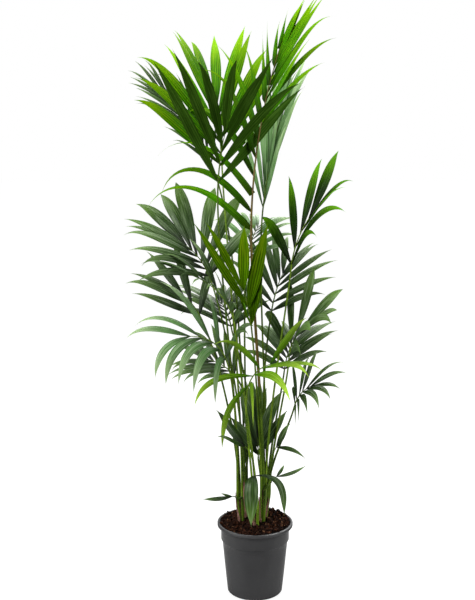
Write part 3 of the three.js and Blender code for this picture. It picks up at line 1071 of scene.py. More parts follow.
@dataclass(frozen=True)
class StreakFinish:
    """A fibrous or ribbed skin: stalks, old sheaths and loose fibres."""

    name: str
    light: Colour
    dark: Colour
    stretch: Point = (500.0, 500.0, 12.0)
    rough: Pair = (0.4, 0.6)
    relief: Relief = Relief(0.0004, 0.7)
    scurf: Colour | None = None
    scurf_scale: float = 260.0
    scurf_share: float = 0.55
    streaky: float = 0.6
    patch_scale: float = 22.0
    gloss: float = 0.2

    def material(self) -> Material:
        """The material of this finish."""
        material, graph, shader = new_finish(self.name)
        streaks = graph.effect(EFFECTS.streaks, Stretch=self.stretch)[0]
        patches = graph.effect(EFFECTS.patches, Scale=self.patch_scale)[0]
        share = graph.mixed(streaks, self.streaky, patches, 1 - self.streaky)
        colour = graph.blend(share, self.dark, self.light)
        if self.scurf:
            specks = graph.effect(EFFECTS.specks, Scale=self.scurf_scale, Share=self.scurf_share)[0]
            colour = graph.blend(specks, colour, self.scurf)
        rough = graph.ramp(streaks, 0.0, 1.0, self.rough)
        self.relief.dress(graph, shader, colour, rough, streaks, self.gloss)
        return material


@dataclass(frozen=True)
class BarkFinish:
    """Moist bark and peat."""

    name: str
    light: Colour
    dark: Colour
    rough: Pair = (0.6, 0.9)
    relief: Relief = Relief(0.0006, 0.9)
    patch_scale: float = 90.0
    grain_scale: float = 700.0
    grain_strength: float = 0.5
    gloss: float = 0.07

    def material(self) -> Material:
        """The material of this finish."""
        material, graph, shader = new_finish(self.name)
        patches = graph.effect(EFFECTS.patches, Scale=self.patch_scale)[0]
        grain = graph.effect(EFFECTS.patches, Scale=self.grain_scale)[0]
        colour = graph.blend(patches, self.dark, self.light)
        colour = graph.blend(graph.times(grain, self.grain_strength), colour, self.dark)
        rough = graph.ramp(grain, 0.0, 1.0, self.rough)
        self.relief.dress(graph, shader, colour, rough, grain, self.gloss)
        return material


@dataclass(frozen=True)
class PotFinish:
    """Moulded plastic with a fine grain, a few scuffs and a little dust, duller on the lip."""

    name: str = "pot_plastic"
    colour: Colour = tint("3d3d3e")
    worn: Colour = tint("464647")
    dust: Colour = tint("55514c")
    rough: Pair = (0.1, 0.12)
    lip_rough: Pair = (0.38, 0.5)
    lip_height: float = 0.2185
    relief: Relief = Relief(0.00012, 0.5)
    patch_scale: float = 11.0
    patch_strength: float = 0.25
    grain_scale: float = 900.0
    scuff_stretch: Point = (30.0, 30.0, 500.0)
    scuff_strength: float = 0.3
    scuffs_from: float = 0.75
    dust_scale: float = 170.0
    dust_share: float = 0.3
    dust_strength: float = 0.5
    patchy: float = 0.7
    gloss: float = 0.5

    def material(self) -> Material:
        """The material of this finish."""
        material, graph, shader = new_finish(self.name)
        patches = graph.effect(EFFECTS.patches, Scale=self.patch_scale)[0]
        grain = graph.effect(EFFECTS.patches, Scale=self.grain_scale)[0]
        scuffs = graph.effect(EFFECTS.streaks, Stretch=self.scuff_stretch)[0]
        specks = graph.effect(EFFECTS.specks, Scale=self.dust_scale, Share=self.dust_share)[0]
        colour = graph.blend(graph.times(patches, self.patch_strength), self.colour, self.worn)
        scuffed = graph.times(graph.ramp(scuffs, self.scuffs_from, 1.0), self.scuff_strength)
        colour = graph.blend(scuffed, colour, self.worn)
        colour = graph.blend(graph.times(specks, self.dust_strength), colour, self.dust)
        uneven = graph.mixed(patches, self.patchy, scuffs, 1 - self.patchy)
        height = graph.add("ShaderNodeSeparateXYZ", {0: graph.place()}).outputs[2]
        on_lip = graph.math("GREATER_THAN", height, self.lip_height)
        wall, lip = (graph.ramp(uneven, 0.0, 1.0, span) for span in (self.rough, self.lip_rough))
        rough = graph.math("ADD", wall, graph.times(graph.math("SUBTRACT", lip, wall), on_lip))
        self.relief.dress(graph, shader, colour, rough, grain, self.gloss)
        return material


# ---------------------------------------------------------------- rules that repeat a shape


class Rules:
    """The geometry node trees: limbs along lines, and small shapes strewn over a surface."""

    def __init__(self) -> None:
        """Builds both trees."""
        self.limbs = self.limb_rule()
        self.strewn = self.strewing_rule()

    @staticmethod
    def finish(graph: Graph, shapes: Socket, material: Socket) -> Tree:
        """The finished tree, which gives real shapes in their material.

        Args:
            graph: The tree's graph.
            shapes: What it has made.
            material: The material that they take.

        Returns:
            The tree.
        """
        real = graph.add("GeometryNodeRealizeInstances", {0: shapes}).outputs[0]
        dressed = graph.add("GeometryNodeSetMaterial", {0: real, "Material": material})
        return graph.closed({0: dressed.outputs[0]})

    def limb_rule(self) -> Tree:
        """Round limbs with faint ridges along lines whose points carry a radius."""
        graph, given = Graph.group(
            "limbs_along_lines", "GeometryNodeTree",
            [("Lines", "Geometry", None), ("Sides", "Int", 10), ("Ridge Height", "Float", 0.0002),
             ("Ridge Stretch", "Vector", (600.0, 600.0, 9.0)), ("Finish", "Material", None)],
            [("Limbs", "Geometry")],
        )
        curve = graph.add("GeometryNodeMeshToCurve", {0: given["Lines"]}).outputs[0]
        ring = graph.add("GeometryNodeCurvePrimitiveCircle", {"Radius": 1.0, "Resolution": given["Sides"]})
        radius = graph.add("GeometryNodeInputNamedAttribute", {"Name": "radius"}, data_type="FLOAT")
        limb = graph.add(
            "GeometryNodeCurveToMesh",
            {"Curve": curve, "Profile Curve": ring.outputs[0], "Scale": radius.outputs[0], "Fill Caps": True},
        )
        where = graph.add("GeometryNodeInputPosition").outputs[0]
        cloud = graph.cloud(graph.vector("MULTIPLY", {0: where, 1: given["Ridge Stretch"]}))
        rise = graph.times(graph.math("SUBTRACT", cloud, 0.5), given["Ridge Height"])
        normal = graph.add("GeometryNodeInputNormal").outputs[0]
        push = graph.vector("SCALE", {0: normal, "Scale": rise})
        ridged = graph.add("GeometryNodeSetPosition", {0: limb.outputs[0], "Offset": push})
        smooth = graph.add("GeometryNodeSetShadeSmooth", {0: ridged.outputs[0]})
        return self.finish(graph, smooth.outputs[0], given["Finish"])

    def strewing_rule(self) -> Tree:
        """Small shapes strewn over a surface with a fixed seed."""
        graph, given = Graph.group(
            "strewn_shapes", "GeometryNodeTree",
            [("Surface", "Geometry", None), ("Shapes", "Collection", None), ("Density", "Float", 1000.0),
             ("Seed", "Int", 1), ("Smallest", "Float", 0.004), ("Largest", "Float", 0.01),
             ("Least Turn", "Vector", (0.0, 0.0, 0.0)), ("Most Turn", "Vector", (6.28, 6.28, 6.28)),
             ("Lift", "Float", 0.0), ("Finish", "Material", None)],
            [("Shapes", "Geometry")],
        )
        seed = given["Seed"]
        spots = graph.add(
            "GeometryNodeDistributePointsOnFaces",
            {"Mesh": given["Surface"], "Density": given["Density"], "Seed": seed},
        )
        turn = graph.add(
            "FunctionNodeRandomValue", {0: given["Least Turn"], 1: given["Most Turn"], "Seed": seed},
            data_type="FLOAT_VECTOR",
        )
        size = graph.add(
            "FunctionNodeRandomValue", {2: given["Smallest"], 3: given["Largest"], "Seed": seed},
            data_type="FLOAT",
        )
        kit = graph.add(
            "GeometryNodeCollectionInfo",
            {0: given["Shapes"], "Separate Children": True, "Reset Children": True},
        )
        copies = graph.add(
            "GeometryNodeInstanceOnPoints",
            {"Points": spots.outputs["Points"], "Instance": kit.outputs[0], "Pick Instance": True,
             "Rotation": turn.outputs[0], "Scale": size.outputs[1]},
        )
        push = graph.add("ShaderNodeCombineXYZ", {2: given["Lift"]}).outputs[0]
        lifted = graph.add("GeometryNodeSetPosition", {0: copies.outputs[0], "Offset": push})
        return self.finish(graph, lifted.outputs[0], given["Finish"])

    @staticmethod
    def grown(mesh: Mesh, rule: Tree, values: Mapping[str, Any]) -> Mesh:
        """Runs a tree on a mesh.

        Args:
            mesh: What the tree starts from. It is used up.
            rule: The tree.
            values: The tree's inputs, by name.

        Returns:
            The result as a plain mesh.
        """
        carrier = in_scene("carrier", mesh)
        modifier = carrier.modifiers.new("Rule", "NODES")
        modifier.node_group = rule
        for item in rule.interface.items_tree:
            if item.item_type == "SOCKET" and item.in_out == "INPUT" and item.name in values:
                modifier[item.identifier] = values[item.name]
        return made_plain(carrier)

    def strew(self, ground: Mesh, shapes: Sequence[Mesh], values: Mapping[str, Any]) -> Mesh:
        """Strews copies of some shapes over a ground.

        Args:
            ground: What they lie on. It is used up.
            shapes: The shapes, which are picked by turns.
            values: The strewing tree's other inputs, by name.

        Returns:
            All the copies as a plain mesh.
        """
        kit = bpy.data.collections.new("kit")
        for number, shape in enumerate(shapes, 1):
            kit.objects.link(bpy.data.objects.new(f"shape_{number}", shape))
        mesh = self.grown(ground, self.strewn, {"Shapes": kit, **values})
        for shape in list(kit.objects):
            bpy.data.objects.remove(shape)
        bpy.data.collections.remove(kit)
        return mesh


RULES = Rules()


# ---------------------------------------------------------------- pot and potting mix


@dataclass
class Pot:
    """The nursery pot: a thin tapered shell with a band and a lip, feet and drain holes."""

    rim_radius: float = 120
    height: float = 230
    wall: float = 2
    lip_height: float = 10
    lip_width: float = 5
    lip_round: float = 2
    collar_height: float = 54
    collar_radius: float = 108.5
    shoulder_drop: float = 5
    shoulder_radius: float = 104
    foot_radius: float = 88
    foot_round: float = 7
    bead: float = 0.7
    bulge: float = 0.25
    segments: int = 144
    drain_holes: int = 6
    drain_hole_radius: float = 6
    drain_circle_radius: float = 58
    foot_slots: int = 8
    foot_slot_size: Point = (14, 11, 4.4)
    foot_slot_top: float = 0.36
    drill_reach: float = 5
    drill_sides: int = 20
    sharp_from: float = 32

    def profile(self) -> list[Pair]:
        """Radius and height along the shell's section, from under its middle round to inside."""
        band = self.height - self.collar_height
        shoulder = band - self.shoulder_drop
        lip = self.height - self.lip_height
        inner = self.rim_radius - self.lip_width - self.wall
        flat = self.foot_radius - self.foot_round
        rows: list[Pair] = [(flat - 4, 0), (flat, 0)]
        for k in range(1, 6):
            angle = k * math.pi / 12
            rows.append((
                self.foot_radius - self.foot_round * (1 - math.sin(angle)),
                self.foot_round * (1 - math.cos(angle)),
            ))
        rows.append((self.foot_radius, self.foot_round))
        rows += self.taper(shoulder - 1)
        rows += [(self.shoulder_radius + self.bead, shoulder), (self.shoulder_radius + 1.6, shoulder + 1)]
        rows += [(self.collar_radius - 0.6, band - 0.8), (self.collar_radius, band + 0.6)]
        rows += [(self.collar_radius, lip - 1), (self.collar_radius + 1, lip)]
        rows += [(self.rim_radius - 1, lip), (self.rim_radius, lip + 1)]
        rows += [(self.rim_radius, self.height - self.lip_round)]
        rows += [(self.rim_radius - 0.6, self.height - 0.6), (self.rim_radius - self.lip_round, self.height)]
        rows += [(inner + 1, self.height), (inner, self.height - 0.8)]
        rows += [(self.collar_radius - self.wall, lip), (self.collar_radius - self.wall, band)]
        rows += [(self.shoulder_radius - self.wall, shoulder)]
        rows += [(self.foot_radius - self.wall, self.foot_round)]
        rows += [(flat, self.wall), (self.foot_radius - 30, self.wall)]
        return rows

    def taper(self, top: float) -> list[Pair]:
        """The points up the tapered wall, which bows out by a hair as thin plastic does."""
        rows = []
        for k in range(1, 9):
            share = k / 8
            height = self.foot_round + (top - self.foot_round) * share
            radius = between((self.foot_radius, self.shoulder_radius), share)
            rows.append((radius + self.bulge * math.sin(math.pi * share), height))
        return rows

    def cutters(self) -> Mesh:
        """Drills for the drain holes and blocks for the slots between the feet, as one mesh."""
        skin = Skin()
        for k in range(self.drain_holes):
            angle = 2 * math.pi * k / self.drain_holes
            middle = self.drain_circle_radius * np.array([math.cos(angle), math.sin(angle), 0])
            ends = np.array([middle - UP * self.drill_reach, middle + UP * self.drill_reach])
            skin.add(*tube(ends, np.full(2, self.drain_hole_radius), self.drill_sides))
        wide, deep, tall = self.foot_slot_size
        for k in range(self.foot_slots):
            angle = 2 * math.pi * (k + 0.5) / self.foot_slots
            out = np.array([math.cos(angle), math.sin(angle), 0])
            across = np.array([-out[1], out[0], 0])
            middle = out * (self.foot_radius + 1)
            corners = [
                middle + across * x * wide / 2 + out * y * deep / 2 + UP * (z * tall / 2)
                for z in (-1, self.foot_slot_top) for x, y in ((-1, -1), (1, -1), (1, 1), (-1, 1))
            ]
            walls = [(c, c + 4, (c + 1) % 4 + 4, (c + 1) % 4) for c in range(4)]
            skin.add(np.array(corners), [(0, 1, 2, 3), (4, 7, 6, 5), *walls])
        mesh = skin.mesh("pot_cutters", [])
        fix_normals(mesh)
        return mesh

    def build(self) -> bpy.types.Object:
        """Builds the shell and dresses it.

        Returns:
            The pot.
        """
        profile = self.profile()
        angles = angles_round(self.segments)
        rings = [[(r * math.cos(a), r * math.sin(a), z) for a in angles] for r, z in profile]
        skin = Skin()
        skin.add(np.array(rings).reshape(-1, 3), capped_faces(len(profile), self.segments))
        mesh = skin.mesh("pot_shell", [PotFinish().material()])
        cut = cut_away(mesh, self.cutters())
        cut.set_sharp_from_angle(angle=math.radians(self.sharp_from))
        return placed("pot_shell", cut, ["pot"])


def fix_normals(mesh: Mesh, merge: bool = False) -> None:
    """Turns every face of closed shapes outwards.

    Args:
        mesh: The mesh.
        merge: Whether points that fall together are joined first.
    """
    work = bmesh.new()
    work.from_mesh(mesh)
    if merge:
        bmesh.ops.remove_doubles(work, verts=work.verts, dist=1e-6)
    bmesh.ops.recalc_face_normals(work, faces=work.faces)
    work.to_mesh(mesh)
    work.free()


def cut_away(mesh: Mesh, tools: Mesh) -> Mesh:
    """Cuts shapes out of a closed mesh.

    Args:
        mesh: The mesh that is cut. It is used up.
        tools: The shapes. They are used up.

    Returns:
        What is left.
    """
    work, cutter = in_scene("work", mesh), in_scene("cutter", tools)
    modifier = work.modifiers.new("Cut", "BOOLEAN")
    modifier.object, modifier.operation, modifier.solver = cutter, "DIFFERENCE", "EXACT"
    made = made_plain(work)
    bpy.data.objects.remove(cutter)
    bpy.data.meshes.remove(tools)
    return made


@dataclass(frozen=True)
class BarkSort:
    """One sort of loose bark: colours, pieces to a square metre, shortest and longest, and lift."""

    name: str
    light: str
    dark: str
    density: float
    smallest: float
    largest: float
    lift: float


BARK_SORTS = (
    BarkSort("bark_dark", "2c180f", "0b0503", 13000.0, 0.010, 0.024, 0.0008),
    BarkSort("bark_brown", "4c2b1b", "1c0e07", 11000.0, 0.008, 0.024, 0.0026),
    BarkSort("bark_pale", "8e6a4c", "4a2f1f", 1500.0, 0.006, 0.016, 0.0044),
)


@dataclass
class PottingMix:
    """The bark mix: an uneven bed in the pot with loose pieces of bark strewn over it."""

    radius: float = 111.3
    wall_radius: float = 105.8
    wall_height: float = 219.6
    strewn_radius: float = 109.5
    height: float = 230.0
    edge_drop: float = 2.0
    depth: float = 45.0
    bumps: Sequence[Point] = ((4.5, 0.05, 3.0), (1.6, 0.16, 9.0))
    heap: float = 14.0
    heap_from: float = 0.45
    heap_way: Pair = (0.75, 0.6)
    rings: int = 30
    segments: int = 96
    shapes: int = 7
    crumb_corners: int = 15
    crumb_size: Point = (0.5, 0.27, 0.19)
    crumb_stray: Point = (0, 0.12, 0.07)
    crumb_reach: Pair = (0.86, 0.2)

    def surface(self, x: float, y: float) -> float:
        """The height of the bed, which is heaped a little against the back and the right."""
        r = math.hypot(x, y) / self.radius
        rough, fine = (
            tall * noise.noise(Vector((x * scale, y * scale, layer))) for tall, scale, layer in self.bumps
        )
        way = self.heap_way[1] * y + self.heap_way[0] * x
        heap = self.heap * max(0.0, r - self.heap_from) * way / self.radius
        level = self.height - self.edge_drop * r**6
        return level + (rough + fine) * (1 - 0.5 * r**4) + 2 * heap * (1 - r**8)

    def ring_points(self, radius: float) -> list[Point]:
        """The bed's points round one ring."""
        spots = [(radius * math.cos(a), radius * math.sin(a)) for a in angles_round(self.segments)]
        return [(x, y, self.surface(x, y)) for x, y in spots]

    def bed(self) -> Skin:
        """The bed as a closed shape."""
        skin = Skin()
        points: list[Point] = []
        for i in range(self.rings + 1):
            points += self.ring_points(self.radius * (self.rings - i) / self.rings)
        inset = self.wall_radius / self.radius
        low = [
            (x * inset, y * inset, z)
            for z in (self.height - self.depth, self.wall_height) for x, y, _ in points[: self.segments]
        ]
        faces = grid_faces(self.rings + 3, self.segments, True)
        faces.append(tuple(reversed(range(self.segments))))
        skin.add(np.array(low + points), faces)
        return skin

    def crumb(self, seed: int) -> Mesh:
        """One rough piece of bark, about 1 long.

        Args:
            seed: Which piece.

        Returns:
            Its mesh.
        """
        work = bmesh.new()
        size = [
            side + stray * jitter(seed, axis)
            for axis, (side, stray) in enumerate(zip(self.crumb_size, self.crumb_stray))
        ]
        for k in range(self.crumb_corners):
            way = unit(np.array([jitter(seed, n + 3 * k) for n in (10, 11, 12)]))
            reach = self.crumb_reach[0] + self.crumb_reach[1] * jitter(seed, 70 + k)
            work.verts.new([way[axis] * size[axis] * reach for axis in range(3)])
        hull = bmesh.ops.convex_hull(work, input=work.verts)
        bmesh.ops.delete(work, geom=hull["geom_interior"], context="VERTS")
        bmesh.ops.recalc_face_normals(work, faces=work.faces)
        mesh = bpy.data.meshes.new("crumb")
        work.to_mesh(mesh)
        work.free()
        return mesh

    def strewing_ground(self) -> Mesh:
        """The top of the bed, as the ground that bark is strewn over."""
        points: list[Point] = []
        for i in range(self.rings):
            points += self.ring_points(self.strewn_radius * (i + 1) / self.rings)
        skin = Skin()
        skin.add(np.array(points), grid_faces(self.rings, self.segments, True))
        return skin.mesh("ground", [])

    def build(self) -> None:
        """Builds the bed and the loose bark, and dresses them."""
        bed = self.bed().mesh("mix_bed", [BarkFinish("peat", tint("140a06"), tint("050201")).material()])
        fix_normals(bed, merge=True)
        placed("mix_bed", bed, ["potting_mix"])
        crumbs = [self.crumb(seed) for seed in range(1, self.shapes + 1)]
        for seed, sort in enumerate(BARK_SORTS, 1):
            finish = BarkFinish(sort.name, tint(sort.light), tint(sort.dark)).material()
            values = {"Density": sort.density, "Seed": seed, "Smallest": sort.smallest,
                      "Largest": sort.largest, "Lift": sort.lift, "Finish": finish}
            mesh = RULES.strew(self.strewing_ground(), crumbs, values)
            placed(sort.name, mesh)


# ---------------------------------------------------------------- stems, sheaths and stalks


@dataclass
class StemSkins:
    """The stems: bundles of leaf bases round a fibrous core, with torn sheaths and loose fibres."""

    clump: Clump
    sides: int = 36
    rows: int = 30
    core: float = 0.6
    ridge: float = 0.9
    sunk: float = 8.0
    sheathed: float = -0.35
    sheath_height: Pair = (50, 150)
    sheath_open: Pair = (135, 14)
    sheath_sides: tuple[int, int] = (22, 9)
    sheath_wall: float = 0.5
    sheath_turn: Pair = (0.5, 0.8)
    sheath_tear: float = 0.2
    sheath_stand: Point = (0.25, 1.3, 0.25)
    sheath_curl: float = 0.9
    sheath_ripple: float = 0.22
    fibre_bend: Pair = (120, 90)
    fibre_radii: Sequence[float] = (10, 14, 14, 11, 4)
    fibre_shapes: int = 4
    fibre_density: float = 9000.0
    fibre_length: Pair = (0.012, 0.032)
    fibre_lean: float = 0.25

    def column(self, seed: int, stem: Stem) -> tuple[Vec, Faces]:
        """One stem's fibrous core.

        Args:
            seed: The stem's number.
            stem: The stem.

        Returns:
            Its points and faces.
        """
        foot = np.array([*stem.foot, stem.stand_height - self.sunk])
        points = []
        for i in range(self.rows):
            u = i / (self.rows - 1)
            centre = foot + (stem.top() - foot) * u
            base = between((stem.foot_radius, stem.top_radius), u) * self.core
            for j in range(self.sides):
                a = 2 * math.pi * j / self.sides
                rise = self.ridge * noise.noise(Vector((math.cos(a) * 5, math.sin(a) * 5, u * 1.5 + seed)))
                points.append(centre + (base + rise) * np.array([math.cos(a), math.sin(a), 0]))
        return np.array(points), capped_faces(self.rows, self.sides)

    def sheath(self, seed: int, frond: Frond) -> tuple[Vec, Faces]:
        """A torn old sheath that clings to the outside of a limb's foot.

        Args:
            seed: The frond's number.
            frond: The frond that the limb carries.

        Returns:
            Its points and faces.
        """
        limb, stem = self.clump.limb(frond), self.clump.stem_of(frond)
        tall = between(self.sheath_height, (1 + jitter(seed, 31)) / 2)
        away = (limb.points[0] - np.array([*stem.foot, 0.0])) * (1, 1, 0)
        if np.linalg.norm(away) < 1:
            away = np.array([*stem.foot, 0.0])
        rows, columns = self.sheath_sides
        outer, inner = [], []
        for i in range(rows):
            u = i / (rows - 1)
            centre, along, radius = limb.at(u * tall)
            turn = self.sheath_turn[0] * jitter(seed, 33) + self.sheath_turn[1] * u * jitter(seed, 34)
            out = turned(square_to(along, away), along, turn)
            across = np.cross(along, out)
            torn = 1 + self.sheath_tear * jitter(seed, 40 + i) * min(1.0, 3 * u)
            opened = math.radians(between(self.sheath_open, u**0.8)) * torn
            near, far, sway = self.sheath_stand
            stand = near + far * u**2 + sway * jitter(seed, 70 + i) * u
            for j in range(columns):
                v = 2 * j / (columns - 1) - 1
                way = out * math.cos(opened * v) + across * math.sin(opened * v)
                curl = self.sheath_curl * abs(v) ** 3 * jitter(seed, 100 + i // 4) ** 2
                ripple = self.sheath_ripple * jitter(seed, 130 + j) + curl
                outer.append(centre + way * (radius + stand + self.sheath_wall + ripple))
                inner.append(centre + way * (radius + stand + ripple))
        shape = (rows, columns, 3)
        return shell(np.array(outer).reshape(shape), np.array(inner).reshape(shape))

    def build(self) -> None:
        """Builds the cores, the torn sheaths and the fibres, and dresses them."""
        columns, sheaths = Skin(), Skin()
        for seed, stem in enumerate(self.clump.stems, 1):
            columns.add(*self.column(seed, stem))
        for seed, frond in enumerate(self.clump.fronds, 1):
            if jitter(seed, 30) > self.sheathed:
                sheaths.add(*self.sheath(seed, frond))
        core = StreakFinish(
            "stem_core", tint("4c3a22"), tint("1f150c"), (260.0, 260.0, 22.0), (0.6, 0.85),
            Relief(0.0009, 0.7), tint("6e5238"),
        )
        husk = StreakFinish(
            "torn_sheath", tint("b4897a"), tint("3e2418"), (900.0, 900.0, 24.0), (0.6, 0.9),
            Relief(0.0006, 0.7), tint("2c1a10"),
        )
        mesh = columns.mesh("stem_cores", [core.material()])
        names = ["stem_" + stem.name for stem in self.clump.stems]
        placed("stem_cores", mesh, names)
        husks = sheaths.mesh("torn_sheaths", [husk.material()])
        fix_normals(husks)
        placed("torn_sheaths", husks)
        self.fibres(sheaths)

    def fibres(self, ground: Skin) -> None:
        """Strews loose upright fibres over the sheaths.

        Args:
            ground: The skin that they stand on.
        """
        finish = StreakFinish("fibre", tint("8a6847"), tint("4d3422"), (200.0, 200.0, 40.0), (0.7, 0.95))
        fibres = [self.fibre(seed) for seed in range(1, self.fibre_shapes + 1)]
        lean, (smallest, largest) = self.fibre_lean, self.fibre_length
        mesh = RULES.strew(
            ground.mesh("ground", []), fibres,
            {"Density": self.fibre_density, "Seed": 11, "Smallest": smallest, "Largest": largest,
             "Least Turn": (-lean, -lean, 0.0), "Most Turn": (lean, lean, 6.28), "Lift": 0.0,
             "Finish": finish.material()},
        )
        placed("stem_fibres", mesh)

    def fibre(self, seed: int) -> Mesh:
        """One bent fibre, 1 long, with a third of it below its foot."""
        aside, out = self.fibre_bend
        line = np.array([
            (aside * (u - 0.5) * jitter(seed, 5) * u, out * u * u * jitter(seed, 6), 1000 * u - 300)
            for u in np.linspace(0, 1, len(self.fibre_radii))
        ])
        skin = Skin()
        skin.add(*tube(line, np.array(self.fibre_radii), 4))
        return skin.mesh("fibre", [])


@dataclass
class Stalks:
    """The limbs: leaf bases, stalks and ribs, green but for one that turns brown higher up.

    Some are a paler green, which paints the light that falls on them.
    """

    clump: Clump
    sides: int = 10
    # Limbs in the paler green, which paints the light that falls on them.
    fresh: Sequence[str] = ("top_fan", "centre", "young_front", "seed_front", "seed_mid_left", "mid_right",
                            "low_left", "upper_right", "arched_left")
    brown: str = "leader"
    brown_from: int = 30
    brown_swell: float = 0.55
    stretch: Point = (420.0, 420.0, 7.0)
    relief: Relief = Relief(0.0003, 0.7)

    def lines(self, limbs: Sequence[tuple[Vec, Vec]]) -> Mesh:
        """Limbs' middle lines, with a radius at each point.

        Args:
            limbs: Each limb's points and radii.

        Returns:
            A mesh of points and edges, in metres.
        """
        edges, start = [], 0
        for points, _ in limbs:
            edges += [(k, k + 1) for k in range(start, start + len(points) - 1)]
            start += len(points)
        mesh = bpy.data.meshes.new("lines")
        mesh.from_pydata(np.concatenate([points for points, _ in limbs]) * MM, edges, [])
        radii = np.concatenate([radii for _, radii in limbs]).astype(np.float32) * MM
        mesh.attributes.new("radius", "FLOAT", "POINT").data.foreach_set("value", radii)
        return mesh

    def build(self) -> None:
        """Builds the limbs in two greens and the brown stretch, and dresses them.

        The paler green paints the light that falls on some of the limbs.
        """
        # The paler green paints light on the limbs that catch it; the other green and the brown are the
        # limbs' own tones.
        pale, green, brown = (
            StreakFinish(name, tint(light), tint(dark), self.stretch, rough, self.relief, tint(scurf))
            for name, light, dark, scurf, rough in (
                ("stalk_fresh", "78981c", "2a4a06", "8a9e44", (0.4, 0.55)),
                ("stalk_green", "587812", "152c04", "6e802c", (0.4, 0.55)),
                ("stalk_brown", "6e5e2a", "423414", "7c6c38", (0.45, 0.6)),
            )
        )
        limbs = {frond.name: self.clump.limb(frond) for frond in self.clump.fronds}
        painted_light_limbs = [name for name in limbs if name in self.fresh]
        other_limbs = [name for name in limbs if name not in (*painted_light_limbs, self.brown)]
        whole = {
            label: [(limbs[name].points, limbs[name].radii) for name in names]
            for label, names in (("painted_light_limbs", painted_light_limbs), ("other_limbs", other_limbs))
        }
        split = limbs[self.brown]
        radii = split.radii * (1 + self.brown_swell * np.sin(np.linspace(0, math.pi, len(split.radii))))
        low = (split.points[: self.brown_from + 1], radii[: self.brown_from + 1])
        high = (split.points[self.brown_from :], radii[self.brown_from :])
        for label, finish, some, names in (
            ("stalks_green", green, [*whole["other_limbs"], low], other_limbs),
            ("stalks_fresh", pale, whole["painted_light_limbs"], painted_light_limbs),
            ("stalks_brown", brown, [high], [self.brown]),
        ):
            values = {"Sides": self.sides, "Finish": finish.material()}
            mesh = RULES.grown(self.lines(some), RULES.limbs, values)
            placed(label, mesh, ["stalk_" + name for name in names])


# ---------------------------------------------------------------- leaflets


# The finishes of one tone: the upper side's inner and outer stretch, and the under side. The inner stretch
# darkens towards the root as painted shade inside the crown.
INNER, OUTER, UNDER = LEAF_PARTS = range(3)


@dataclass(frozen=True, eq=False)
class LeafletPlan:
    """Where one leaflet grows, how large it is and how it hangs."""

    root: Vec
    direction: Vec
    face: Vec
    long: float
    wide: float
    bow: float
    sway: float
    twist: float
    blunt: float
    tip_droop: float


